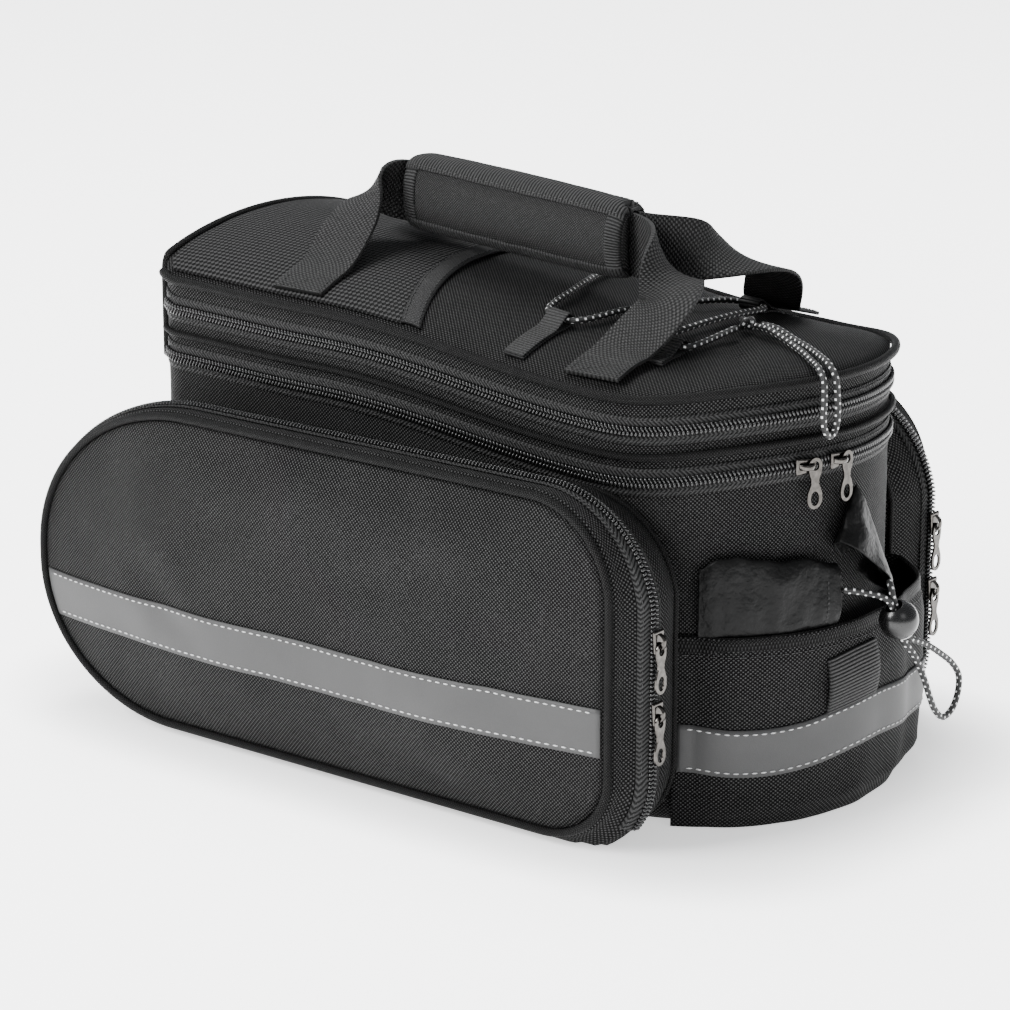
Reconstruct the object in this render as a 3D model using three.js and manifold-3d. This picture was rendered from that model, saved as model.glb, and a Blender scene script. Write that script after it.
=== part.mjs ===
// A bicycle rear-rack pannier bag: a D-shaped main bag with a domed zipped lid, a zipped pannier
// on each side, a patch pocket with a bottle sleeve round the rear end, a padded carry handle and
// elastic cord on the lid. Millimetres, +Z up, +X to the rounded rear end, -Y to the left pannier.
// The origin is the middle of the main bag's flat base.
import * as THREE from "three";
import { mergeVertices } from "three/addons/utils/BufferGeometryUtils.js";
import Module from "manifold-3d";

const wasm = await Module();
wasm.setup();

// Main bag
const BAG_LENGTH = 358;
const BAG_WIDTH = 176;
const BAG_HEIGHT = 210;
const ROUND_END = 85;
const FRONT_CORNER = 18;
const BASE_CORNER = 10;
const WALL = 3;
const BAND_HEIGHT = 50;
const TUB_HEIGHT = BAG_HEIGHT - BAND_HEIGHT;
const DOME_FRONT = 20;
const DOME_REAR = 14;
const CLEARANCE = 0.3;
const PIPING_RADIUS = 2.2;
const MIDDLE_PIPING_RADIUS = 1.6;
const MIDDLE_PIPING_DROP = 27;
const ZIP_WIDTH = 8;
const ZIP_THICKNESS = 1.6;
const UPPER_ZIP_DROP = 15;
const LOWER_ZIP_DROP = 39;

// Side panniers
const PANNIER_LENGTH = 348;
const PANNIER_DROP = 5;
const PANNIER_TOP = BAG_HEIGHT - LOWER_ZIP_DROP - ZIP_WIDTH / 2 - PANNIER_DROP;
const PANNIER_BOTTOM = 8;
const PANNIER_SETBACK = 46;
const PANNIER_REAR = BAG_LENGTH / 2 - PANNIER_SETBACK;
const PANNIER_SHIFT = PANNIER_REAR - PANNIER_LENGTH / 2;
const PANNIER_DEPTH = 41;
const PANNIER_CROWN = 12;
const PANNIER_CLOTH = 2;
const PANNIER_PIPING_RADIUS = 2;
const PANNIER_SEAM_GAP = 0.5;
const PANNIER_ZIP_SETBACK = 13;

// Reflective strips and webbing
const STRIPE_WIDTH = 23;
const STRIPE_HEIGHT = 60;
const STRIPE_THICKNESS = 0.8;
const STRIPE_INSET = 1.5;
const WEBBING_WIDTH = 30;
const WEBBING_THICKNESS = 1.8;

// Carry handle
const GRIP_LENGTH = 135;
const GRIP_HEIGHT = 38;
const GRIP_DEPTH = 28;
const GRIP_LIFT = 47;
const GRIP_RISE = BAG_HEIGHT + GRIP_LIFT;
const GRIP_DROOP = 4.5;
const GRIP_SHIFT = -9;
const GRIP_LEAN = -7;
const GRIP_WALL = 3;
const STRAP_SPACING = 176;

// Rear pocket, bottle sleeve and cords
const POCKET_HEIGHT = 93;
const POCKET_BULGE = 22;
const POCKET_CLOTH = 2;
const SLEEVE_CLOTH = 1;
const CORD_DIAMETER = 3;
const CORD_LOCK_DIAMETER = 18.5;
const CORD_LOCK_BORE = 8;
const LIGHT_LOOP_HEIGHT = 26;
const TAB_WIDTH = 11;
const TAB_THICKNESS = 0.9;
const TAB_LENGTH = 36;
const KNOT_DIAMETER = 9;

// Mesh pocket on the lid
const MESH_THICKNESS = 1;
const MESH_MARGIN = 8;
const MESH_EDGE = -8;
const MESH_EDGE_BOW = 26;
const BINDING_WIDTH = 11;

// Zip pulls
const SLIDER_LENGTH = 11;
const SLIDER_WIDTH = 8;
const SLIDER_PLATE = 1.8;
const BRIDGE_HEIGHT = 5.2;
const BRIDGE_WIDTH = 3;
const PULL_LENGTH = 24;
const PULL_WIDTH = 7.5;
const PULL_THICKNESS = 1.1;

const HALF_LENGTH = BAG_LENGTH / 2;
const HALF_WIDTH = BAG_WIDTH / 2;
const ROUND_START = HALF_LENGTH - ROUND_END;

const BLACK = { color: 0x1c1c1d, roughness: 0.85, metalness: 0 };
const FINISHES = {
  fabric: BLACK,
  trim: { color: 0x151516, roughness: 0.7, metalness: 0 },
  mesh: { color: 0x202021, roughness: 0.9, metalness: 0 },
  webbing: { color: 0x232324, roughness: 0.8, metalness: 0 },
  nylon: { color: 0x262628, roughness: 0.45, metalness: 0 },
  zip: { color: 0x101011, roughness: 0.4, metalness: 0 },
  reflective: { color: 0x8b8b8d, roughness: 0.45, metalness: 0.1 },
  metal: { color: 0x8d8877, roughness: 0.25, metalness: 1 },
  plastic: { color: 0x141415, roughness: 0.35, metalness: 0 },
  cord: { color: 0x1a1a1b, roughness: 0.7, metalness: 0 },
};

const bag = new THREE.Group();

function addPiece(name, geometry, finish) {
  const mesh = new THREE.Mesh(geometry, new THREE.MeshStandardMaterial(FINISHES[finish]));
  mesh.name = name;
  bag.add(mesh);
  return mesh;
}

const vector = (x, y, z) => new THREE.Vector3(x, y, z);
const mix = (a, b, t) => a + (b - a) * t;
const ease = (t) => (1 - Math.cos(Math.PI * THREE.MathUtils.clamp(t, 0, 1))) / 2;

// The value of a column at a place between a table's rows, eased from row to row.
function fromTable(rows, place, column) {
  const next = rows.findIndex((row) => row.at >= place);
  if (next <= 0) return rows.at(next === 0 ? 0 : -1)[column];
  const [low, high] = [rows[next - 1], rows[next]];
  return mix(low[column], high[column], ease((place - low.at) / (high.at - low.at)));
}

// A geometry of triangles, turned so that its faces point out.
function bodyFrom(points, faces) {
  const volume = faces.reduce(
    (sum, [a, b, c]) => sum + points[a].dot(points[b].clone().cross(points[c])), 0);
  const index = volume < 0 ? faces.map(([a, b, c]) => [a, c, b]) : faces;
  const geometry = new THREE.BufferGeometry().setFromPoints(points);
  geometry.setIndex(index.flat());
  geometry.computeVertexNormals();
  return geometry;
}

// A body through closed rings of equal counts. A closed loft joins its last ring to its first;
// an open one gets a fan of triangles over each end ring.
function loft(rings, closed = false) {
  const count = rings[0].length;
  const points = rings.flat();
  const faces = [];
  const bands = closed ? rings.length : rings.length - 1;
  for (let ring = 0; ring < bands; ring++) {
    const here = ring * count;
    const there = ((ring + 1) % rings.length) * count;
    for (let i = 0; i < count; i++) {
      const j = (i + 1) % count;
      faces.push([here + i, here + j, there + j], [here + i, there + j, there + i]);
    }
  }
  if (!closed) {
    for (const [start, turned] of [[0, true], [(rings.length - 1) * count, false]]) {
      const middle = vector(0, 0, 0);
      for (let i = 0; i < count; i++) middle.addScaledVector(points[start + i], 1 / count);
      points.push(middle);
      for (let i = 0; i < count; i++) {
        const [a, b] = [start + i, start + ((i + 1) % count)];
        faces.push(turned ? [points.length - 1, b, a] : [points.length - 1, a, b]);
      }
    }
  }
  return bodyFrom(points, faces);
}

// A cloth sheet over a surface given as a function of two shares. It floats by lift above the
// surface and is as thick as told; a negative side lays it on the surface's other face.
function sheet(surface, columns, rows, lift, thickness, side = 1) {
  const at = (i, j) => surface(i / columns, j / rows);
  const [lower, upper] = [[], []];
  for (let j = 0; j <= rows; j++) {
    for (let i = 0; i <= columns; i++) {
      const across = at(Math.min(i + 1, columns), j).sub(at(Math.max(i - 1, 0), j));
      const along = at(i, Math.min(j + 1, rows)).sub(at(i, Math.max(j - 1, 0)));
      const normal = across.cross(along).normalize().multiplyScalar(side);
      lower.push(at(i, j).addScaledVector(normal, lift));
      upper.push(at(i, j).addScaledVector(normal, lift + thickness));
    }
  }
  const width = columns + 1;
  const total = lower.length;
  const faces = [];
  const quad = (a, b, c, d) => faces.push([a, b, c], [a, c, d]);
  for (let j = 0; j < rows; j++) {
    for (let i = 0; i < columns; i++) {
      const [a, b, c, d] = [j * width + i, j * width + i + 1, (j + 1) * width + i + 1, (j + 1) * width + i];
      quad(total + a, total + b, total + c, total + d);
      quad(a, d, c, b);
    }
  }
  const rim = [];
  for (let i = 0; i < columns; i++) rim.push(i);
  for (let j = 0; j < rows; j++) rim.push(j * width + columns);
  for (let i = columns; i > 0; i--) rim.push(rows * width + i);
  for (let j = rows; j > 0; j--) rim.push(j * width);
  rim.forEach((a, k) => {
    const b = rim[(k + 1) % rim.length];
    quad(a, b, total + b, total + a);
  });
  return bodyFrom([...lower, ...upper], faces);
}

// A flat strip through stations that each have a place and the direction of the strip's width.
function ribbon(stations, width, thickness) {
  const rings = stations.map(({ place, across }, k) => {
    const before = stations[Math.max(k - 1, 0)].place;
    const after = stations[Math.min(k + 1, stations.length - 1)].place;
    const travel = after.clone().sub(before);
    const face = travel.cross(across).normalize().multiplyScalar(thickness / 2);
    const reach = across.clone().normalize().multiplyScalar(width / 2);
    return [[1, 1], [-1, 1], [-1, -1], [1, -1]].map(([w, f]) =>
      place.clone().addScaledVector(reach, w).addScaledVector(face, f));
  });
  return loft(rings);
}

// A path whose steps fall on its own points, so that piping keeps to the seams of faceted cloth.
class SeamPath extends THREE.CatmullRomCurve3 {
  getUtoTmapping(u) {
    return u;
  }
}

// The round section of a cord or piping, drawn along a path.
function roundAlong(extrudePath, radius, steps, sides) {
  const section = new THREE.Shape();
  for (let k = 0; k < sides; k++) {
    const turn = (2 * Math.PI * k) / sides;
    const [x, y] = [radius * Math.cos(turn), radius * Math.sin(turn)];
    if (k) section.lineTo(x, y);
    else section.moveTo(x, y);
  }
  return new THREE.ExtrudeGeometry(section, { steps, bevelEnabled: false, extrudePath });
}

const cordThrough = (points, radius, steps, sides = 8) =>
  roundAlong(new THREE.CatmullRomCurve3(points, false, "centripetal"), radius, steps, sides);

const pipingThrough = (points, radius, sides = 6) =>
  roundAlong(new SeamPath(points, false, "centripetal"), radius, points.length - 1, sides);

function solidOf(geometry) {
  const bare = geometry.clone();
  bare.deleteAttribute("normal");
  bare.deleteAttribute("uv");
  const merged = mergeVertices(bare, 1e-4);
  return new wasm.Manifold(new wasm.Mesh({
    numProp: 3,
    vertProperties: merged.attributes.position.array,
    triVerts: new Uint32Array(merged.index.array),
  }));
}

function geometryOf(solid) {
  const mesh = solid.getMesh();
  const geometry = new THREE.BufferGeometry();
  geometry.setAttribute("position", new THREE.BufferAttribute(new Float32Array(mesh.vertProperties), 3));
  geometry.setIndex(new THREE.BufferAttribute(new Uint32Array(mesh.triVerts), 1));
  geometry.computeVertexNormals();
  return geometry;
}

// The main bag's outline runs in seven stretches: half the front end, the left front corner,
// the left side, the round rear end, the right side, the right front corner, half the front end.
const LEFT_CORNER = 1;
const LEFT_SIDE = 2;
const REAR_END = 3;
const RIGHT_SIDE = 4;
const RIGHT_CORNER = 5;
const STRETCHES = 7;
const STEPS_PER_STRETCH = [2, 3, 8, 12, 8, 3, 2];

function arcPlace(cx, cy, rx, ry, turn) {
  const normal = new THREE.Vector2(Math.cos(turn) / rx, Math.sin(turn) / ry).normalize();
  return { x: cx + rx * Math.cos(turn), y: cy + ry * Math.sin(turn), normal };
}

function outlinePlace(place) {
  const stretch = Math.min(Math.floor(place), STRETCHES - 1);
  const u = place - stretch;
  const flat = HALF_WIDTH - FRONT_CORNER;
  const cornerX = FRONT_CORNER - HALF_LENGTH;
  const quarter = Math.PI / 2;
  if (stretch === 0) return { x: -HALF_LENGTH, y: -flat * u, normal: new THREE.Vector2(-1, 0) };
  if (stretch === LEFT_CORNER)
    return arcPlace(cornerX, -flat, FRONT_CORNER, FRONT_CORNER, Math.PI + quarter * u);
  if (stretch === LEFT_SIDE)
    return { x: mix(cornerX, ROUND_START, u), y: -HALF_WIDTH, normal: new THREE.Vector2(0, -1) };
  if (stretch === REAR_END)
    return arcPlace(ROUND_START, 0, ROUND_END, HALF_WIDTH, -quarter + Math.PI * u);
  if (stretch === RIGHT_SIDE)
    return { x: mix(ROUND_START, cornerX, u), y: HALF_WIDTH, normal: new THREE.Vector2(0, 1) };
  if (stretch === RIGHT_CORNER)
    return arcPlace(cornerX, flat, FRONT_CORNER, FRONT_CORNER, quarter + quarter * u);
  return { x: -HALF_LENGTH, y: flat * (1 - u), normal: new THREE.Vector2(-1, 0) };
}

// How far the lid's seam lies above or below its mean height, as shares of the bag's height:
// the packed bag stands taller at the front and sags before the round end.
const SEAM_LINE = [
  { at: 0, rise: 0.043 },
  { at: 0.3, rise: 0.031 },
  { at: 0.8, rise: -0.036 },
  { at: 1, rise: 0 },
];
const LEVEL_START = 0.7;

const seamRise = (x) =>
  BAG_HEIGHT * fromTable(SEAM_LINE, (x + HALF_LENGTH) / BAG_LENGTH, "rise");

function domeHeight(x, y) {
  const beyond = Math.max(0, (x - ROUND_START) / ROUND_END);
  const reach = Math.max(0, 1 - beyond ** 2 - (y / HALF_WIDTH) ** 2);
  return mix(DOME_FRONT, DOME_REAR, ease((x + HALF_LENGTH) / BAG_LENGTH)) * reach ** 0.8;
}

const lidHeight = (x, y) => BAG_HEIGHT + seamRise(x) + domeHeight(x, y);

// A place on the main bag's wall: along its outline, at a nominal height, offset outwards.
function onWall(place, height, out = 0) {
  const { x, y, normal } = outlinePlace(place);
  const share = height / BAG_HEIGHT;
  const level = height + seamRise(x) * Math.min(1, share / LEVEL_START) + domeHeight(x, y) * share ** 3;
  return vector(x + normal.x * out, y + normal.y * out, level);
}

function outlinePlaces(from = 0, to = STRETCHES) {
  const places = [];
  for (let stretch = 0; stretch < STRETCHES; stretch++) {
    const steps = STEPS_PER_STRETCH[stretch];
    for (let k = 0; k < steps; k++) places.push(stretch + k / steps);
  }
  if (from === 0 && to === STRETCHES) return places;
  return [from, ...places.filter((place) => place > from + 0.02 && place < to - 0.02), to];
}

const RING = outlinePlaces();
const wallRing = (height, out) => RING.map((place) => onWall(place, height, out));

// Main bag: an open tub, the zipped band above it and the lid
function addMainBag() {
  const inner = BASE_CORNER - WALL;
  const rounding = [0, 0.5, 1].map((share) => (share * Math.PI) / 2);
  const outside = rounding.map((turn) =>
    wallRing(BASE_CORNER * (1 - Math.cos(turn)), -BASE_CORNER * (1 - Math.sin(turn))));
  const inside = rounding.map((turn) =>
    wallRing(WALL + inner * (1 - Math.cos(turn)), -WALL - inner * (1 - Math.sin(turn))));
  addPiece("main_tub", loft([
    ...outside,
    wallRing(TUB_HEIGHT / 2, 0),
    wallRing(TUB_HEIGHT, 0),
    wallRing(TUB_HEIGHT, -WALL),
    wallRing(TUB_HEIGHT / 2, -WALL),
    ...inside.reverse(),
  ]), "fabric");

  const bandLow = TUB_HEIGHT + CLEARANCE;
  const bandHigh = BAG_HEIGHT - WALL - CLEARANCE;
  addPiece("zip_band", loft([
    wallRing(bandLow, 0),
    wallRing(bandHigh, 0),
    wallRing(bandHigh, -WALL),
    wallRing(bandLow, -WALL),
  ], true), "fabric");
}

const LID_RINGS = [1, 0.88, 0.64, 0.34, 0.04];

function lidRing(share, drop) {
  return RING.map((place) => {
    const { x, y } = outlinePlace(place);
    return vector(x * share, y * share, lidHeight(x * share, y * share) - drop);
  });
}

function addLid() {
  const under = [...LID_RINGS].reverse().map((share) => lidRing(share, WALL));
  const over = LID_RINGS.map((share) => lidRing(share, 0));
  addPiece("lid", loft([...under, ...over]), "fabric");
}

// Pipings and zips that run from one front corner round the rear end to the other
const RUN_START = LEFT_CORNER + 0.55;
const RUN_END = RIGHT_CORNER + 0.45;

function wallCord(name, height, radius) {
  const places = outlinePlaces(RUN_START, RUN_END);
  const points = places.map((place) => onWall(place, height, radius + CLEARANCE));
  addPiece(name, pipingThrough(points, radius), "trim");
}

function wallZip(name, drop) {
  const stations = outlinePlaces(RUN_START, RUN_END).map((place) => ({
    place: onWall(place, BAG_HEIGHT - drop, CLEARANCE + ZIP_THICKNESS / 2),
    across: vector(0, 0, 1),
  }));
  addPiece(name, ribbon(stations, ZIP_WIDTH, ZIP_THICKNESS), "zip");
}

// The front end's piping climbs one corner, arches over the end and comes down the other.
function addFrontBinding() {
  const out = PIPING_RADIUS + CLEARANCE;
  const corner = RUN_START - 0.3;
  const foot = TUB_HEIGHT + out;
  const leftPost = [foot, mix(foot, BAG_HEIGHT, 0.6)].map((height) => onWall(corner, height, out));
  const arch = outlinePlaces(0, corner).reverse().map((place) => onWall(place, BAG_HEIGHT, out));
  const top = arch.pop();
  const mirrored = [...leftPost, ...arch].reverse().map((p) => vector(p.x, -p.y, p.z));
  addPiece("front_binding",
    pipingThrough([...leftPost, ...arch, top, ...mirrored], PIPING_RADIUS), "trim");
}

// Lid fittings: mesh pocket and its binding
const meshEdge = (y) => MESH_EDGE - MESH_EDGE_BOW * (1 - (y / HALF_WIDTH) ** 2);
const onLid = (x, y) => vector(x, y, lidHeight(x, y));

function addMeshPocket() {
  const reach = HALF_WIDTH - MESH_MARGIN;
  const front = MESH_MARGIN - HALF_LENGTH;
  addPiece("mesh_pocket", sheet((u, v) => {
    const y = mix(-reach, reach, v);
    return onLid(mix(front, meshEdge(y) - BINDING_WIDTH - CLEARANCE, u), y);
  }, 6, 10, CLEARANCE * 1.3, MESH_THICKNESS), "mesh");
  addPiece("mesh_binding", sheet((u, v) => {
    const y = mix(-reach, reach, v);
    return onLid(mix(meshEdge(y) - BINDING_WIDTH, meshEdge(y), u), y);
  }, 1, 12, CLEARANCE, MESH_THICKNESS + 0.6), "trim");
}

// Carry handle. Each strap is sewn flat to the lid, climbs, turns on edge and runs through the grip.
const gripAxis = (x) => GRIP_RISE - (GRIP_DROOP * 2 * x) / GRIP_LENGTH;
const STRAP_REST = MESH_THICKNESS + 4 * CLEARANCE + WEBBING_THICKNESS / 2;
const STRAP_CREST = 42;

function strapRoute(side) {
  const foot = STRAP_SPACING / 2;
  const half = GRIP_LENGTH / 2;
  const slotY = WEBBING_THICKNESS / 2 + 3 * CLEARANCE;
  const flat = vector(1, 0, 0);
  const turned = vector(-1, 0, 0);
  const upright = vector(0, 0, 1);
  const sewn = (x, inset, up = 0) => {
    const y = HALF_WIDTH - inset;
    return vector(x, y * side, lidHeight(x, y) + STRAP_REST + up);
  };
  const inGrip = (along, apart, up = 0) =>
    vector(GRIP_SHIFT + along, GRIP_LEAN + side * apart, gripAxis(along) + up);
  return [
    { place: sewn(-foot, 5), across: flat },
    { place: sewn(-foot, 16), across: flat },
    { place: sewn(-foot + 1, 27, 2), across: flat },
    { place: vector(-foot - 1, side * STRAP_CREST, gripAxis(-half) - 13), across: flat },
    { place: inGrip(-half - 13, 17, 1), across: vector(0.75, 0, 0.66) },
    { place: inGrip(-half - 2, slotY + 1.2), across: upright },
    { place: inGrip(-half + 12, slotY + 0.3), across: upright },
    { place: inGrip(0, slotY), across: upright },
    { place: inGrip(half - 12, slotY + 0.3), across: upright },
    { place: inGrip(half + 2, slotY + 1.2), across: upright },
    { place: inGrip(half + 30, 17, -1), across: vector(-0.75, 0, 0.66) },
    { place: vector(foot + 13, side * STRAP_CREST, gripAxis(half) - 15), across: turned },
    { place: sewn(foot + 2, 27, 2), across: turned },
    { place: sewn(foot, 16), across: turned },
    { place: sewn(foot, 5), across: turned },
  ];
}

function smoothStations(rows, stepsBetween) {
  const places = new THREE.CatmullRomCurve3(rows.map((row) => row.place), false, "centripetal");
  const widths = new THREE.CatmullRomCurve3(rows.map((row) => row.across), false, "centripetal");
  const total = (rows.length - 1) * stepsBetween;
  const stations = [];
  for (let k = 0; k <= total; k++) {
    stations.push({ place: places.getPoint(k / total), across: widths.getPoint(k / total) });
  }
  return stations;
}

function ovalRing(x, depth, height, squareness = 2.6, count = 16) {
  const ring = [];
  for (let k = 0; k < count; k++) {
    const turn = (2 * Math.PI * k) / count;
    const [c, s] = [Math.cos(turn), Math.sin(turn)];
    const round = (v) => Math.sign(v) * Math.abs(v) ** (2 / squareness);
    ring.push(vector(GRIP_SHIFT + x, GRIP_LEAN + (depth / 2) * round(c),
      gripAxis(x) + (height / 2) * round(s)));
  }
  return ring;
}

function addHandle() {
  for (const [name, side] of [["handle_strap_left", -1], ["handle_strap_right", 1]]) {
    addPiece(name, ribbon(smoothStations(strapRoute(side), 2), WEBBING_WIDTH, WEBBING_THICKNESS), "webbing");
  }
  const half = GRIP_LENGTH / 2;
  const slotDepth = 4 * WEBBING_THICKNESS + 14 * CLEARANCE;
  const slotHeight = GRIP_HEIGHT - 2 * GRIP_WALL;
  const outside = [
    { at: -1, size: 0.84 }, { at: -0.9, size: 0.97 }, { at: -0.5, size: 1 },
    { at: 0.5, size: 1 }, { at: 0.9, size: 0.97 }, { at: 1, size: 0.84 },
  ];
  const rings = outside.map(({ at, size }) =>
    ovalRing(at * half, GRIP_DEPTH * size, GRIP_HEIGHT * mix(1, size, 0.4)));
  const slot = [1, -1].map((at) => ovalRing(at * half, slotDepth, slotHeight, 6));
  addPiece("handle_grip", loft([...rings, ...slot], true), "fabric");
}

// Side panniers. An outline in the side plane runs in eight stretches from the bottom edge.
const CORNERS = {
  lowRear: { rx: 0.1, rz: 0.2 },
  highRear: { rx: 0.12, rz: 0.28 },
  highFront: { rx: 0.28, rz: 0.52 },
  lowFront: { rx: 0.24, rz: 0.44 },
};
const PANNIER_STRETCHES = 8;
const PANNIER_STEPS = [2, 4, 1, 5, 3, 7, 1, 6];

function pannierOutline(place) {
  const stretch = Math.floor(place) % PANNIER_STRETCHES;
  const u = place - Math.floor(place);
  const height = PANNIER_TOP - PANNIER_BOTTOM;
  const [front, rear] = [PANNIER_SHIFT - PANNIER_LENGTH / 2, PANNIER_SHIFT + PANNIER_LENGTH / 2];
  const size = ({ rx, rz }) => [rx * PANNIER_LENGTH, rz * height];
  const [lrx, lrz] = size(CORNERS.lowRear);
  const [hrx, hrz] = size(CORNERS.highRear);
  const [hfx, hfz] = size(CORNERS.highFront);
  const [lfx, lfz] = size(CORNERS.lowFront);
  const quarter = Math.PI / 2;
  const straight = (x, y, nx, ny) => ({ x, y, normal: new THREE.Vector2(nx, ny) });
  switch (stretch) {
    case 0: return straight(mix(front + lfx, rear - lrx, u), PANNIER_BOTTOM, 0, -1);
    case 1: return arcPlace(rear - lrx, PANNIER_BOTTOM + lrz, lrx, lrz, -quarter + quarter * u);
    case 2: return straight(rear, mix(PANNIER_BOTTOM + lrz, PANNIER_TOP - hrz, u), 1, 0);
    case 3: return arcPlace(rear - hrx, PANNIER_TOP - hrz, hrx, hrz, quarter * u);
    case 4: return straight(mix(rear - hrx, front + hfx, u), PANNIER_TOP, 0, 1);
    case 5: return arcPlace(front + hfx, PANNIER_TOP - hfz, hfx, hfz, quarter + quarter * u);
    case 6: return straight(front, mix(PANNIER_TOP - hfz, PANNIER_BOTTOM + lfz, u), -1, 0);
    default: return arcPlace(front + lfx, PANNIER_BOTTOM + lfz, lfx, lfz, Math.PI + quarter * u);
  }
}

// The zip runs from low on the rear end over the top to low on the front end.
const ZIP_START = 1.5;
const ZIP_END = 7.6;

const PANNIER_RING = PANNIER_STEPS.flatMap((steps, stretch) =>
  Array.from({ length: steps }, (_, k) => stretch + k / steps));
const BACK = HALF_WIDTH + PANNIER_SEAM_GAP;

// A place on a pannier: along its outline, grown outwards, at a depth out from its back.
function onPannier(side, place, grow, depth, floor = 0) {
  const { x, y, normal } = pannierOutline(place);
  return vector(x + normal.x * grow, side * (BACK + depth), Math.max(floor, y + normal.y * grow));
}

// The gusset's outward bulge from back to rim, as shares of the pannier's depth: at its ends and
// underside, and along its top, where it tucks in to the main bag.
const GUSSET = [
  { at: 0, grow: 0.12, top: -0.2 },
  { at: 0.08, grow: 0.22, top: -0.08 },
  { at: 0.35, grow: 0.32, top: 0.03 },
  { at: 0.7, grow: 0.36, top: 0.1 },
  { at: 1, grow: 0.13, top: 0.13 },
];

function gussetGrow(place, depth) {
  const up = Math.max(0, pannierOutline(place).normal.y);
  const share = depth / PANNIER_DEPTH;
  return PANNIER_DEPTH * mix(fromTable(GUSSET, share, "grow"), fromTable(GUSSET, share, "top"), up);
}

const PANEL_RINGS = [1, 0.88, 0.62, 0.3, 0.04];

function panelPlace(side, x, z, depth) {
  return vector(x, side * (BACK + depth), z);
}

// The front panel's face, by a place on its outline and a share from its middle to its edge.
function onPanel(side, place, share, sink = 0) {
  const { x, y } = pannierOutline(place);
  const middle = { x: PANNIER_SHIFT, z: (PANNIER_TOP + PANNIER_BOTTOM) / 2 };
  const rim = PANNIER_DEPTH + CLEARANCE + PANNIER_CLOTH;
  return panelPlace(side, mix(middle.x, x, share), mix(middle.z, y, share),
    rim + PANNIER_CROWN * (1 - share ** 3) - sink);
}

// The crown of the panel above its rim at a place in the side plane.
function panelCrown(x, z) {
  const middle = { x: PANNIER_SHIFT, z: (PANNIER_TOP + PANNIER_BOTTOM) / 2 };
  let nearest = 1;
  let gap = Infinity;
  for (let k = 0; k < 400; k++) {
    const { x: ex, y: ez } = pannierOutline((k / 400) * PANNIER_STRETCHES);
    const reach = (ex - middle.x) ** 2 + (ez - middle.z) ** 2;
    const share = ((x - middle.x) * (ex - middle.x) + (z - middle.z) * (ez - middle.z)) / reach;
    const off = Math.hypot(x - mix(middle.x, ex, share), z - mix(middle.z, ez, share));
    if (share >= 0 && off < gap) [gap, nearest] = [off, share];
  }
  return PANNIER_CROWN * (1 - Math.min(1, nearest) ** 3);
}

// Where the panel's outline crosses a height, at its front and its rear end.
function panelSpan(z) {
  const crossings = [];
  PANNIER_RING.forEach((place, k) => {
    const [a, b] = [place, PANNIER_RING[(k + 1) % PANNIER_RING.length]].map(pannierOutline);
    if (a.y !== b.y && (a.y - z) * (b.y - z) <= 0)
      crossings.push(mix(a.x, b.x, (z - a.y) / (b.y - a.y)));
  });
  return { front: Math.min(...crossings), rear: Math.max(...crossings) };
}

function addPannier(side, word) {
  const ring = (share, inset, floor) => {
    const depth = share * PANNIER_DEPTH;
    return PANNIER_RING.map((place) =>
      onPannier(side, place, gussetGrow(place, depth) - inset, depth, floor));
  };
  const outside = GUSSET.map(({ at }) => ring(at, 0, 0));
  const inside = GUSSET.slice(1).reverse().map(({ at }) => ring(at, PANNIER_CLOTH, PANNIER_CLOTH));
  addPiece(`${word}_pannier_tub`, loft([...outside, ...inside]), "fabric");

  const faceRing = (share, sink) => PANNIER_RING.map((place) => onPanel(side, place, share, sink));
  const under = [...PANEL_RINGS].reverse().map((share) => faceRing(share, PANNIER_CLOTH));
  const over = PANEL_RINGS.map((share) => faceRing(share, 0));
  addPiece(`${word}_pannier_panel`, loft([...under, ...over]), "fabric");

  const pipingGrow = CLEARANCE + PANNIER_PIPING_RADIUS;
  const pipingDepth = PANNIER_DEPTH + CLEARANCE + PANNIER_PIPING_RADIUS;
  const around = [...PANNIER_RING, PANNIER_STRETCHES - 0.01];
  const seam = around.map((place) => onPannier(side, place, pipingGrow, pipingDepth, PANNIER_PIPING_RADIUS));
  addPiece(`${word}_pannier_piping`, pipingThrough(seam, PANNIER_PIPING_RADIUS), "trim");

  const zipDepth = PANNIER_DEPTH - PANNIER_ZIP_SETBACK;
  const zipOut = 2 * CLEARANCE + ZIP_THICKNESS / 2;
  const zipPlaces = PANNIER_RING.filter((place) => place > ZIP_START && place < ZIP_END);
  const stations = zipPlaces.map((place) => ({
    place: onPannier(side, place, gussetGrow(place, zipDepth) + zipOut, zipDepth),
    across: vector(0, 1, 0),
  }));
  addPiece(`${word}_pannier_zip`, ribbon(stations, ZIP_WIDTH, ZIP_THICKNESS), "zip");

  addPiece(`${word}_pannier_stripe`, sheet((u, v) => {
    const z = STRIPE_HEIGHT + mix(-0.5, 0.5, v) * STRIPE_WIDTH;
    const { front, rear } = panelSpan(z);
    const x = mix(front + STRIPE_INSET, rear - STRIPE_INSET, ease(u));
    return panelPlace(side, x, z, PANNIER_DEPTH + CLEARANCE + PANNIER_CLOTH + panelCrown(x, z));
  }, 12, 2, 2 * CLEARANCE, STRIPE_THICKNESS, side < 0 ? 1 : -1), "reflective");
}

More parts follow.
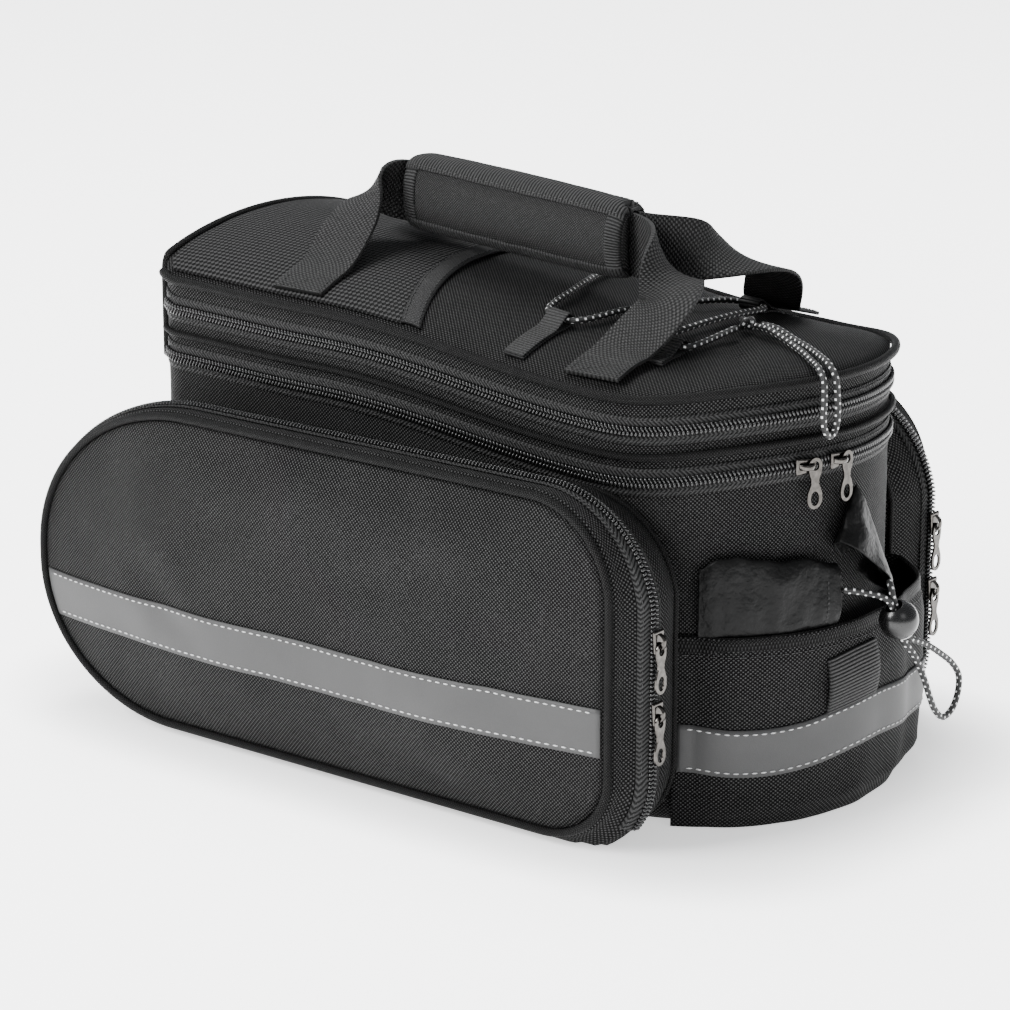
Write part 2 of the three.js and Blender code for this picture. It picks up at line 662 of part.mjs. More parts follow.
// Rear pocket: how far its cloth stands off the round end, from its left to its right seam,
// and how much of that it keeps at each height.
const POCKET_START = REAR_END + 0.15;
const POCKET_END = REAR_END + 0.88;
const POCKET_PLAN = [
  { at: 0, out: 0.04 },
  { at: 0.15, out: 0.36 },
  { at: 0.35, out: 0.42 },
  { at: 0.5, out: 0.45 },
  { at: 0.65, out: 0.62 },
  { at: 0.8, out: 1 },
  { at: 0.9, out: 0.95 },
  { at: 1, out: 0.04 },
];
const POCKET_SIDE = [
  { height: 0.02, out: 0.6 },
  { height: 0.12, out: 0.9 },
  { height: 0.45, out: 1 },
  { height: 0.78, out: 0.96 },
  { height: 1, out: 0.85 },
];
const POCKET_STEPS = 20;

// The strip's lower edge dips and climbs with the soft pocket, as shares of the pocket's height.
const REAR_STRIPE = [
  { at: 0, low: 0.3 },
  { at: 0.2, low: 0.28 },
  { at: 0.5, low: 0.35 },
  { at: 0.7, low: 0.32 },
  { at: 1, low: 0.25 },
];
const LOOP_START = 0.35;
const LOOP_END = 0.5;

const pocketOut = (u) => POCKET_BULGE * fromTable(POCKET_PLAN, u, "out");

function onPocket(u, height, keep) {
  const { x, y, normal } = outlinePlace(mix(POCKET_START, POCKET_END, u));
  const out = Math.max(POCKET_CLOTH + 2 * CLEARANCE, pocketOut(u) * keep);
  return vector(x + normal.x * out, y + normal.y * out, height);
}

function addRearPocket() {
  const rows = POCKET_SIDE.length - 1;
  addPiece("rear_pocket", sheet((u, v) => {
    const row = POCKET_SIDE[Math.round(v * rows)];
    return onPocket(u, row.height * POCKET_HEIGHT, row.out);
  }, POCKET_STEPS, rows, -POCKET_CLOTH, POCKET_CLOTH), "fabric");
  const stripeLow = (u) => fromTable(REAR_STRIPE, u, "low") * POCKET_HEIGHT;
  addPiece("rear_stripe", sheet((u, v) => {
    const place = mix(1, POCKET_STEPS - 1, u) / POCKET_STEPS;
    return onPocket(place, stripeLow(place) + v * STRIPE_WIDTH, 1);
  }, POCKET_STEPS - 2, 1, 2 * CLEARANCE, STRIPE_THICKNESS), "reflective");
  addPiece("light_loop", sheet((u, v) => {
    const place = mix(LOOP_START, LOOP_END, u);
    return onPocket(place, stripeLow(place) + STRIPE_WIDTH + CLEARANCE + v * LIGHT_LOOP_HEIGHT, 1);
  }, 3, 1, 2 * CLEARANCE, WEBBING_THICKNESS), "webbing");
}

// Bottle sleeve: thin nylon pushed into the pocket, with two folds that stand out of its mouth.
// The left fold's heights are measured from the mouth.
const SLEEVE_START = REAR_END + 0.21;
const SLEEVE_HEM = REAR_END + 0.43;
const SLEEVE_DEPTH = 8;
const SLEEVE_FOLD = [
  { at: 0, low: 1, high: 8, depth: 0.3 },
  { at: 0.35, low: 0.6, high: 25, depth: 0.55 },
  { at: 0.7, low: 0.6, high: 34, depth: 0.8 },
  { at: 1, low: 0.6, high: 35, depth: 1 },
];
const RING_STEPS = 12;

function sleeveRing(row, inset) {
  const { x, y, normal } = outlinePlace(mix(SLEEVE_START, SLEEVE_HEM, row.at));
  const half = (SLEEVE_DEPTH * row.depth) / 2;
  const ring = [];
  for (let k = 0; k < RING_STEPS; k++) {
    const turn = (2 * Math.PI * k) / RING_STEPS;
    const out = half + 3 * CLEARANCE + (half - inset) * Math.cos(turn);
    const reach = (row.high - row.low) / 2 - inset;
    const middle = POCKET_HEIGHT + (row.high + row.low) / 2;
    ring.push(vector(x + normal.x * out, y + normal.y * out, middle + reach * Math.sin(turn)));
  }
  return ring;
}

// The right fold lies against the round end, between the pocket's mouth and the lower zip.
// Its mouth slants down to the right. Rise and reach are shares of that height, and out is
// measured from the bag's rear end.
const RIGHT_FOLD = [
  { out: 3.4, y: 9, rise: 0.4615, run: [0.47, -0.88], reach: 0.3974, width: 2.7 },
  { out: 5.8, y: 3, rise: 0.3974, run: [0.62, -0.78], reach: 0.3718, width: 5 },
  { out: 8.6, y: -4.5, rise: 0.3205, run: [0.78, -0.63], reach: 0.3205, width: 7 },
];

function foldRing({ out, y, rise, run, reach, width }, inset) {
  const ring = [];
  const x = HALF_LENGTH + out;
  const space = BAG_HEIGHT - LOWER_ZIP_DROP - POCKET_HEIGHT;
  const z = POCKET_HEIGHT + rise * space;
  const length = reach * space;
  for (let k = 0; k < RING_STEPS; k++) {
    const turn = (2 * Math.PI * k) / RING_STEPS;
    const along = (length - inset) * Math.cos(turn);
    ring.push(vector(x + (width - inset) * Math.sin(turn), y + run[0] * along, z + run[1] * along));
  }
  return ring;
}

function addSleeve() {
  const outside = SLEEVE_FOLD.map((row) => sleeveRing(row, 0));
  const inside = SLEEVE_FOLD.slice(1).reverse().map((row) => sleeveRing(row, SLEEVE_CLOTH));
  addPiece("sleeve_fold_left", loft([...outside, ...inside]), "nylon");
  const outer = RIGHT_FOLD.map((row) => foldRing(row, 0));
  const inner = RIGHT_FOLD.slice(1).reverse().map((row) => foldRing(row, SLEEVE_CLOTH));
  addPiece("sleeve_fold_right", loft([...outer, ...inner]), "nylon");
}

// Cord lock: a ball with one bore for both strands of the drawcord.
const LOCK_PLACE = vector(HALF_LENGTH + 25, 0, 94.3);
const LOCK_AXIS = vector(0.12, 0.42, -0.9).normalize();

function addCordLock() {
  const ball = new THREE.SphereGeometry(CORD_LOCK_DIAMETER / 2, 14, 9);
  const bore = new THREE.CylinderGeometry(
    CORD_LOCK_BORE / 2, CORD_LOCK_BORE / 2, CORD_LOCK_DIAMETER * 1.2, 12);
  const bored = geometryOf(solidOf(ball).subtract(solidOf(bore)));
  const lock = addPiece("cord_lock", bored, "plastic");
  lock.quaternion.setFromUnitVectors(vector(0, -1, 0), LOCK_AXIS);
  lock.position.copy(LOCK_PLACE);
}

// The cords' routes, chosen by hand from the photograph's curves. The drawcord's first number is
// its distance behind the bag's rear end.
const DRAWCORD_ROUTE = [
  [7, -21.5, 110.5], [11.5, -18, 110], [16.5, -13.5, 108.8], [20.6, -9.6, 107.2],
  [23.6, -6.6, 104.4], [25, -1.6, 93.6], [26.4, 3.5, 82.8], [28, 8.5, 76.4], [29, 13.6, 68],
  [30, 17.2, 60], [30.5, 20.4, 52.5], [31, 25, 44.4], [31.4, 32, 39], [31.6, 40, 41.5],
  [31.4, 45, 49], [31, 45.6, 56], [30, 41, 63], [29, 32, 70], [28, 20.5, 77.4],
  [27.2, 12, 81.6], [26.4, 6.6, 84.2], [25, 1.6, 95], [23.6, -3.5, 105.8],
  [22, -2.6, 109.6], [18.6, 0.4, 112.6],
];
const LACING_ROUTE = [
  [-5, 46.2, 0], [2, 46.2, 0], [8.4, 46, 0], [12.6, 41.5, 0], [19, 18, 0], [28, -18, 0],
  [32.6, -41.5, 0], [36.6, -46, 0], [43, -46.2, 0], [49.4, -46, 0], [53.6, -41.5, 0], [61, -16, 0],
  [73, 20, 0], [77.6, 41.5, 0], [81.6, 46, 0], [88, 46.2, 0], [94.4, 46, 0], [98, 41.5, 0],
  [99.5, 18, 0], [98, -12, 0], [95.6, -36.5, 0], [98.2, -41.2, 0], [105, -41.2, 0], [111.8, -41.2, 0],
  [114, -36.5, 0], [115, -18, 0], [115.5, -5.7, 0.6],
];
const LOOP_ROUTE = [
  [120.6, 0.6, 2.4], [132, -4, 3], [146, -10, 1], [160, -18, 0.5], [170, -25, 1.6],
  [177, -30.7, 3.2], [182.3, -35, -1], [184.5, -37.7, -9], [185.1, -39, -17], [185.6, -37.9, -22.8],
  [186, -34.3, -25.7], [186.2, -30.6, -23.4], [186.1, -28.9, -17], [185.8, -28.9, -9],
  [184.2, -28.4, 0.2], [178, -24.6, 4.4],
  [170, -19, 2.6], [160, -12.4, 1], [146, -5, 1], [132, 1, 3], [121.4, 4.6, 2.4],
];
const KNOT_PLACE = [115.5, 1.2];

// A lid cord's points give their height above the lid; beyond the seam the lid's edge height counts.
function overLid([x, y, above]) {
  const reach = Math.hypot(Math.max(0, x - ROUND_START) / ROUND_END, y / HALF_WIDTH);
  const pull = reach > 1 ? 1 / reach : 1;
  const inside = x > ROUND_START
    ? vector(ROUND_START + (x - ROUND_START) * pull, y * pull, 0)
    : vector(x, y, 0);
  return vector(x, y, lidHeight(inside.x, inside.y) + above + CORD_DIAMETER / 2 + CLEARANCE * 2);
}

function addCords() {
  const radius = CORD_DIAMETER / 2;
  const hanging = DRAWCORD_ROUTE.map(([out, y, z]) => vector(HALF_LENGTH + out, y, z));
  addPiece("drawcord", cordThrough(hanging, radius, 42), "cord");
  const lacingRise = TAB_THICKNESS + 2 * CLEARANCE;
  const laced = LACING_ROUTE.map(([x, y, up]) => overLid([x, y, up + lacingRise]));
  addPiece("shock_lacing", cordThrough(laced, radius, 58), "cord");
  addPiece("shock_loop", cordThrough(LOOP_ROUTE.map(overLid), radius, 30), "cord");
  const knot = addPiece("cord_knot", new THREE.SphereGeometry(KNOT_DIAMETER / 2, 8, 6), "cord");
  knot.position.set(...KNOT_PLACE, lidHeight(...KNOT_PLACE) + KNOT_DIAMETER / 2 + CLEARANCE);
}

// Webbing tabs: each is folded back on itself round the lacing cord.
const TABS = [
  { name: "cord_tab_1", x: 43, side: -1, length: TAB_LENGTH },
  { name: "cord_tab_2", x: 105, side: -1, length: TAB_LENGTH * 0.5 },
  { name: "cord_tab_3", x: 2, side: 1, length: TAB_LENGTH * 0.42 },
  { name: "cord_tab_4", x: 88, side: 1, length: TAB_LENGTH * 0.42 },
];
const TAB_TIP = 46.2;
const SECOND_TAB_TIP = 41.2;
const TAB_WRAP = [-70, -25, 25, 70, 110];
const TAB_RUN = [0, 0.3, 0.6, 1];

function addTabs() {
  const loop = CORD_DIAMETER / 2 + CLEARANCE * 3.4 + TAB_THICKNESS / 2;
  for (const { name, x, side, length } of TABS) {
    const tip = name === "cord_tab_2" ? SECOND_TAB_TIP : TAB_TIP;
    const centre = overLid([x, side * tip, TAB_THICKNESS + 2 * CLEARANCE]);
    const rise = 2 * CLEARANCE + TAB_THICKNESS / 2;
    const low = (y) => vector(x, y, lidHeight(x, y) + rise);
    const high = (y) => vector(x, y, lidHeight(x, y) + rise + TAB_THICKNESS + CLEARANCE * 1.4);
    const far = side * (tip + length);
    const near = side * (tip + loop * 3.4);
    const route = TAB_RUN.map((share) => low(mix(far, near, share)));
    for (const turn of TAB_WRAP) {
      const angle = THREE.MathUtils.degToRad(turn);
      route.push(centre.clone().add(vector(0, -side * loop * Math.cos(angle), loop * Math.sin(angle))));
    }
    route.push(...TAB_RUN.map((share) => high(mix(near, far, share))));
    const slope = vector(2, 0, lidHeight(x + 1, side * tip) - lidHeight(x - 1, side * tip));
    const stations = route.map((place) => ({ place, across: slope }));
    addPiece(name, ribbon(stations, TAB_WIDTH, TAB_THICKNESS), "webbing");
  }
}

// Zip sliders with their pulls. The pull's eye is linked round one leg of the slider's bridge.
function sliderGeometry() {
  const half = SLIDER_LENGTH / 2;
  const plate = new THREE.BoxGeometry(SLIDER_LENGTH, SLIDER_WIDTH, SLIDER_PLATE);
  plate.translate(0, 0, SLIDER_PLATE / 2);
  const bridge = new THREE.Shape();
  bridge.moveTo(-half * 0.85, SLIDER_PLATE * 0.6);
  bridge.lineTo(half * 0.85, SLIDER_PLATE * 0.6);
  bridge.lineTo(half * 0.85, BRIDGE_HEIGHT * 0.85);
  bridge.lineTo(half * 0.6, BRIDGE_HEIGHT);
  bridge.lineTo(-half * 0.6, BRIDGE_HEIGHT);
  bridge.lineTo(-half * 0.85, BRIDGE_HEIGHT * 0.85);
  const gap = new THREE.Path();
  gap.moveTo(-half * 0.58, SLIDER_PLATE);
  gap.lineTo(-half * 0.58, BRIDGE_HEIGHT - 1.2);
  gap.lineTo(half * 0.58, BRIDGE_HEIGHT - 1.2);
  gap.lineTo(half * 0.58, SLIDER_PLATE);
  bridge.holes.push(gap);
  const arch = new THREE.ExtrudeGeometry(bridge, { depth: BRIDGE_WIDTH, bevelEnabled: false });
  arch.rotateX(Math.PI / 2);
  arch.translate(0, BRIDGE_WIDTH / 2, 0);
  return geometryOf(solidOf(plate).add(solidOf(arch)));
}

function pullGeometry() {
  const [eye, tail] = [PULL_WIDTH / 2, PULL_WIDTH * 0.6];
  const far = PULL_LENGTH - eye - tail;
  const outline = new THREE.Shape();
  outline.absarc(0, 0, eye, Math.PI / 2, (Math.PI * 3) / 2, false);
  outline.lineTo(far * 0.55, -eye);
  outline.absarc(far, 0, tail, -Math.PI / 2, Math.PI / 2, false);
  outline.lineTo(far * 0.55, eye);
  const eyeHole = new THREE.Path();
  eyeHole.absellipse(0, 0, eye * 0.62, eye * 0.6, 0, Math.PI * 2, true);
  const tailHole = new THREE.Path();
  tailHole.absellipse(far - 0.6, 0, tail * 0.9, tail * 0.6, 0, Math.PI * 2, true);
  outline.holes.push(eyeHole, tailHole);
  const geometry = new THREE.ExtrudeGeometry(outline, {
    depth: PULL_THICKNESS, bevelEnabled: false, curveSegments: 4,
  });
  return geometry;
}

function addSlider(name, place, along, out, hang) {
  const across = out.clone().cross(along).normalize();
  const turned = new THREE.Matrix4().makeBasis(along.clone().normalize(), across, out.clone().normalize());
  const slider = addPiece(`${name}_slider`, sliderGeometry(), "metal");
  slider.quaternion.setFromRotationMatrix(turned);
  slider.position.copy(place);
  const slack = BRIDGE_HEIGHT - 1.2 - SLIDER_PLATE - PULL_THICKNESS;
  const leg = place.clone()
    .addScaledVector(along.clone().normalize(), (SLIDER_LENGTH / 2) * 0.715)
    .addScaledVector(out.clone().normalize(), SLIDER_PLATE + slack / 2);
  const side = out.clone().cross(hang).normalize();
  const pull = addPiece(`${name}_pull`, pullGeometry(), "metal");
  const basis = new THREE.Matrix4().makeBasis(hang.clone().normalize(), side, out.clone().normalize());
  pull.quaternion.setFromRotationMatrix(basis);
  pull.position.copy(leg);
}

function addSliders() {
  const zipDepth = PANNIER_DEPTH - PANNIER_ZIP_SETBACK;
  const zipGrow = gussetGrow(2, zipDepth) + 3 * CLEARANCE + ZIP_THICKNESS;
  for (const [word, side] of [["left", -1], ["right", 1]]) {
    for (const [number, share] of [[1, 0.62], [2, 0.4]]) {
      const place = onPannier(side, 2, zipGrow, zipDepth);
      place.z = mix(PANNIER_BOTTOM, PANNIER_TOP, share);
      place.x = PANNIER_SHIFT + PANNIER_LENGTH / 2 + zipGrow;
      addSlider(`${word}_pannier_${number}`, place, vector(0, 0, -1), vector(1, 0, 0), vector(0, 0, -1));
    }
  }
  const facets = STEPS_PER_STRETCH[REAR_END];
  for (const [number, share] of [[1, 0.37], [2, 0.4375]]) {
    const facet = Math.floor(share * facets);
    const [start, end] = [facet, facet + 1].map((step) => onWall(
      REAR_END + step / facets, BAG_HEIGHT - LOWER_ZIP_DROP, ZIP_THICKNESS + 3 * CLEARANCE));
    const seat = start.clone().lerp(end, share * facets - facet);
    const along = vector(end.x - start.x, end.y - start.y, 0).normalize();
    addSlider(`main_${number}`, seat, along, vector(along.y, -along.x, 0), vector(0, 0, -1));
  }
}

addMainBag();
addLid();
wallCord("lid_piping", BAG_HEIGHT, PIPING_RADIUS);
wallCord("middle_piping", BAG_HEIGHT - MIDDLE_PIPING_DROP, MIDDLE_PIPING_RADIUS);
wallZip("upper_zip", UPPER_ZIP_DROP);
wallZip("lower_zip", LOWER_ZIP_DROP);
addFrontBinding();
addMeshPocket();
addHandle();
addPannier(-1, "left");
addPannier(1, "right");
addRearPocket();
addSleeve();
addCordLock();
addCords();
addTabs();
addSliders();

export default bag;
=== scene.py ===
# %% [markdown]
# # A bicycle pannier bag
# The bag is a D-shaped main bag with a zipped lid, a pannier on each side, a pocket with a bottle
# sleeve round its rear end, and a padded handle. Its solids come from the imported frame. Each soft
# solid is replaced here by cloth with folds, seams, zips and stitches in the same place.

import math

import bmesh
import bpy
import numpy as np
from mathutils import Matrix, Vector, noise
from mathutils.bvhtree import BVHTree


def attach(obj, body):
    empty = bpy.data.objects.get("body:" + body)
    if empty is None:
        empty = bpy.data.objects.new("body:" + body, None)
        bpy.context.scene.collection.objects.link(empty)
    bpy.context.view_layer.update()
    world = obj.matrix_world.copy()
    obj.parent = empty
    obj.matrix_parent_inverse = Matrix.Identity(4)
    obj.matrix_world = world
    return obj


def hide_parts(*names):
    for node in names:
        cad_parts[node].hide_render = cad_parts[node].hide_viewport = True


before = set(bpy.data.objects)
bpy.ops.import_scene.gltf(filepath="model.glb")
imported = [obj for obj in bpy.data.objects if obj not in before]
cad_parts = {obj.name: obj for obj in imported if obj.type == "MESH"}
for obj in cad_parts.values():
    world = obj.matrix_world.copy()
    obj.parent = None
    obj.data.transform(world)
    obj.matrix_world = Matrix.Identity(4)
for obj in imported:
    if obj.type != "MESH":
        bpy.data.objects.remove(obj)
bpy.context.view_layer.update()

# %% [markdown]
# ## The camera
# A product photographer stands well back with a long lens, so that the bag's edges stay nearly
# parallel. The camera looks at a point inside the bag from 38 degrees to the right of its side
# and 16.5 degrees above the ground. Every length below is in millimetres until it becomes a mesh.

# %% Camera
MM = 0.001
AZIMUTH = math.radians(38.0)
ELEVATION = math.radians(16.5)
CAMERA_DISTANCE = 1.7907
CAMERA_TARGET = Vector((-0.0261, 0, 0.1074))
LENS = 128.4

back = Vector((
    math.sin(AZIMUTH) * math.cos(ELEVATION),
    -math.cos(AZIMUTH) * math.cos(ELEVATION),
    math.sin(ELEVATION),
))
camera = bpy.data.objects.new("camera", bpy.data.cameras.new("camera"))
bpy.context.scene.collection.objects.link(camera)
camera.location = CAMERA_TARGET + back * CAMERA_DISTANCE
camera.rotation_mode = "QUATERNION"
camera.rotation_quaternion = (-back).to_track_quat("-Z", "Y")
camera.data.lens = LENS
camera.data.clip_end = 20
bpy.context.scene.camera = camera
print("camera", [round(v, 3) for v in camera.location])

# %% [markdown]
# ## Shaping helpers
# Cloth is a sheet, so nearly every soft piece starts as a flat grid whose vertices are then
# moved to where a short function puts them. The grid's own two shares also give its UV map, in
# metres, so that a weave keeps its true size on every piece.

# %% Sums
def mix(a, b, t):
    return a + (b - a) * t


def clamp(t):
    return min(1.0, max(0.0, t))


def ease(t):
    return (1 - math.cos(math.pi * clamp(t))) / 2


def from_table(rows, place):
    """The value between a table's rows of (place, value), eased from row to row."""
    if place <= rows[0][0]:
        return rows[0][1]
    for (a, low), (b, high) in zip(rows, rows[1:]):
        if place <= b:
            return mix(low, high, ease((place - a) / (b - a)))
    return rows[-1][1]


def ripple(x, y, z, size):
    """Smooth noise between about -1 and 1 whose bumps are size across, in millimetres."""
    return noise.noise(Vector((x / size, y / size, z / size)))


def signed_power(value, power):
    """A value's power that keeps its sign: it makes a circle squarer or more pointed."""
    return math.copysign(abs(value) ** power, value)


# %% Grid pieces
WELD, FINE_WELD = 1e-6, 1e-7
UP = (0, 0, 1)


def upwards(spot):
    return UP


def keep_mesh(name, bm, finish):
    mesh = bpy.data.meshes.new(name)
    bm.to_mesh(mesh)
    bm.free()
    mesh.polygons.foreach_set("use_smooth", [True] * len(mesh.polygons))
    piece = bpy.data.objects.new(name, mesh)
    bpy.context.scene.collection.objects.link(piece)
    mesh.materials.append(finish.material)
    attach(piece, "root")
    return piece


def thicken(piece, thickness, offset=-1):
    wall = piece.modifiers.new("cloth", "SOLIDIFY")
    wall.thickness = thickness * MM
    wall.offset = offset
    return piece


def shaped(name, columns, rows, place, span, finish, thickness=0, out=None, flat=None):
    """A sheet over place(u, v), in millimetres. Edges that meet are welded, and with a
    thickness the cloth's wall grows inwards. out gives the way that an open sheet faces."""
    bm = bmesh.new()
    cloth = bm.loops.layers.uv.new("cloth")
    bmesh.ops.create_grid(bm, x_segments=columns, y_segments=rows, size=0.5)
    shares = {vert: (vert.co.x + 0.5, vert.co.y + 0.5) for vert in bm.verts}
    places = {vert: Vector(place(*share)) for vert, share in shares.items()}
    for face in bm.faces:
        for loop in face.loops:
            if flat:
                across, along = flat(places[loop.vert])
            else:
                across, along = (a * b for a, b in zip(shares[loop.vert], span))
            loop[cloth].uv = (across * MM, along * MM)
    for vert, spot in places.items():
        vert.co = spot * MM
    bmesh.ops.remove_doubles(bm, verts=bm.verts, dist=WELD)
    bmesh.ops.dissolve_degenerate(bm, edges=bm.edges, dist=FINE_WELD)
    if out is None:
        bmesh.ops.recalc_face_normals(bm, faces=bm.faces)
    else:
        bm.normal_update()
        lean = sum(face.normal.dot(Vector(out(face.calc_center_median()))) for face in bm.faces)
        if lean < 0:
            bmesh.ops.reverse_faces(bm, faces=bm.faces)
    piece = keep_mesh(name, bm, finish)
    return thicken(piece, thickness) if thickness else piece


# %% Smooth lines through chosen points
CURVE_STEPS = 16


def run_along(points):
    """The length run so far at each point of a line."""
    return np.concatenate([[0], np.cumsum(np.linalg.norm(np.diff(points, axis=0), axis=1))])


def row_at(at, run, table):
    """A table's row at a length along the line that its rows follow."""
    return np.array([np.interp(at, run, column) for column in table.T])


def smooth_line(points, step):
    """Even points on a centripetal Catmull-Rom curve through the chosen ones."""
    p = [np.array(q, float) for q in points]
    p = [2 * p[0] - p[1], *p, 2 * p[-1] - p[-2]]
    dense = []
    for a, b, c, d in zip(p, p[1:], p[2:], p[3:]):
        t1 = np.linalg.norm(b[:3] - a[:3]) ** 0.5
        t2 = t1 + np.linalg.norm(c[:3] - b[:3]) ** 0.5
        t3 = t2 + np.linalg.norm(d[:3] - c[:3]) ** 0.5
        for k in range(CURVE_STEPS):
            t = mix(t1, t2, k / CURVE_STEPS)
            ab = a + (b - a) * t / t1
            bc = b + (c - b) * (t - t1) / (t2 - t1)
            cd = c + (d - c) * (t - t2) / (t3 - t2)
            abc = ab + (bc - ab) * t / t2
            bcd = bc + (cd - bc) * (t - t1) / (t3 - t1)
            dense.append(abc + (bcd - abc) * (t - t1) / (t2 - t1))
    dense = np.array([*dense, p[-2]])
    run = run_along(dense[:, :3])
    at = np.linspace(0, run[-1], int(round(run[-1] / step)) + 1)
    return row_at(at, run, dense).T


def length_of(points):
    return float(run_along(points)[-1])


def frames_along(points, up):
    """A side and a normal at each point of a line, turning as little as possible."""
    travel = np.gradient(points, axis=0)
    travel /= np.linalg.norm(travel, axis=1)[:, None]
    side = np.cross(travel[0], up)
    sides = []
    for way in travel:
        side = side - way * side.dot(way)
        side = side / np.linalg.norm(side)
        sides.append(side)
    return np.array(sides), np.cross(sides, travel)


def tube(name, points, radius, finish, sides=12, up=UP, closed=False, cross=None):
    """A round cord or piping along a line. cross gives its side and normal at each point."""
    points = np.array(points, float)
    last = len(points) - 1
    side, normal = cross or frames_along(points, up)

    def place(u, v):
        k = int(round(v * last))
        r = radius if closed or 0 < k < last else 0.0
        turn = 2 * math.pi * u
        return points[k] + (side[k] * math.cos(turn) + normal[k] * math.sin(turn)) * r

    return shaped(name, sides, last, place, (2 * math.pi * radius, length_of(points)), finish)


def strap(name, points, across, width, thickness, finish, columns):
    """A flat strap along a line: across gives the direction of its width at each point."""
    points, across = np.array(points, float), np.array(across, float)
    travel = np.gradient(points, axis=0)
    across -= travel * (across * travel).sum(1)[:, None] / (travel * travel).sum(1)[:, None]
    across /= np.linalg.norm(across, axis=1)[:, None]
    last = len(points) - 1

    def place(u, v):
        k = int(round(v * last))
        return points[k] + across[k] * (u - 0.5) * width

    piece = shaped(name, columns, last, place, (width, length_of(points)), finish)
    thicken(piece, thickness, 0)
    edge = piece.modifiers.new("edge", "BEVEL")
    edge.width = thickness * 0.3 * MM
    edge.segments = 2
    edge.limit_method = "ANGLE"
    return piece


# %% Many small copies
def copies(name, template, places, finish):
    """One mesh of many copies of a small bmesh, each moved by its own matrix."""
    whole = bmesh.new()
    stamp = bpy.data.meshes.new("stamp")
    for matrix in places:
        one = template.copy()
        one.transform(matrix)
        one.to_mesh(stamp)
        one.free()
        whole.from_mesh(stamp)
    template.free()
    bpy.data.meshes.remove(stamp)
    return keep_mesh(name, whole, finish)


def tooth(length, width, height):
    """A coil tooth: a cube with one cut each way, drawn in towards a ball."""
    bm = bmesh.new()
    bmesh.ops.create_cube(bm, size=1)
    bmesh.ops.subdivide_edges(bm, edges=bm.edges, cuts=1, use_grid_fill=True)
    for vert in bm.verts:
        vert.co = vert.co.lerp(vert.co.normalized() * 0.55, 0.7)
    bmesh.ops.scale(bm, vec=Vector((length, width, height)) * MM, verts=bm.verts)
    return bm


def stitch(length, width, height):
    bm = bmesh.new()
    bmesh.ops.create_icosphere(bm, subdivisions=1, radius=0.5)
    bmesh.ops.scale(bm, vec=Vector((length, width, height)) * MM, verts=bm.verts)
    return bm


def stand(place, travel, top):
    """A matrix that puts a copy at a place, lying along travel with its top towards top."""
    travel, top = Vector(travel).normalized(), Vector(top)
    top = (top - travel * top.dot(travel)).normalized()
    turned = Matrix((travel, top.cross(travel), top)).transposed().to_4x4()
    return Matrix.Translation(Vector(place) * MM) @ turned


def seam_stitches(name, points, tops, pitch, size, finish):
    """A row of stitches along a line of points, lying on the side that tops point to."""
    points, tops = np.array(points, float), np.array(tops, float)
    run = run_along(points)
    places = []
    for at in np.arange(pitch / 2, run[-1], pitch):
        start, end = (row_at(at + d, run, points) for d in (-0.5, 0.5))
        places.append(stand((start + end) / 2, end - start, row_at(at, run, tops)))
    return copies(name, stitch(*size), places, finish)


# %% [markdown]
# ## Finishes
# A finish is a small graph of nodes. To keep the maths readable, a socket is wrapped in a class
# whose + - * / add the Math nodes. Only what changes over the surface is wired up, and every
# constant is typed straight on to the shader.

# %% Node maths
class Wire:
    def __init__(self, tree, socket):
        self.tree, self.socket = tree, socket

    def math(self, operation, *values):
        node = self.tree.nodes.new("ShaderNodeMath")
        node.operation = operation
        for slot, value in zip(node.inputs, values):
            if isinstance(value, Wire):
                self.tree.links.new(value.socket, slot)
            else:
                slot.default_value = value
        return Wire(self.tree, node.outputs[0])

    def __add__(self, other):
        return self.math("ADD", self, other)

    def __sub__(self, other):
        return self.math("SUBTRACT", self, other)

    def __rsub__(self, other):
        return self.math("SUBTRACT", other, self)

    def __mul__(self, other):
        return self.math("MULTIPLY", self, other)

    def __truediv__(self, other):
        return self.math("DIVIDE", self, other)

    __radd__ = __add__
    __rmul__ = __mul__

    def sine(self):
        return self.math("SINE", self)

    def size(self):
        return self.math("ABSOLUTE", self)

    def fraction(self):
        return self.math("FRACT", self)

    def above(self, level):
        return self.math("GREATER_THAN", self, level)

    def between(self, low, high):
        """0 below low, 1 above high and a soft step from one to the other."""
        step = self.math("SUBTRACT", self, low) / (high - low)
        step = step.math("MINIMUM", step.math("MAXIMUM", step, 0.0), 1.0)
        return step * step * (3.0 - step * 2.0)


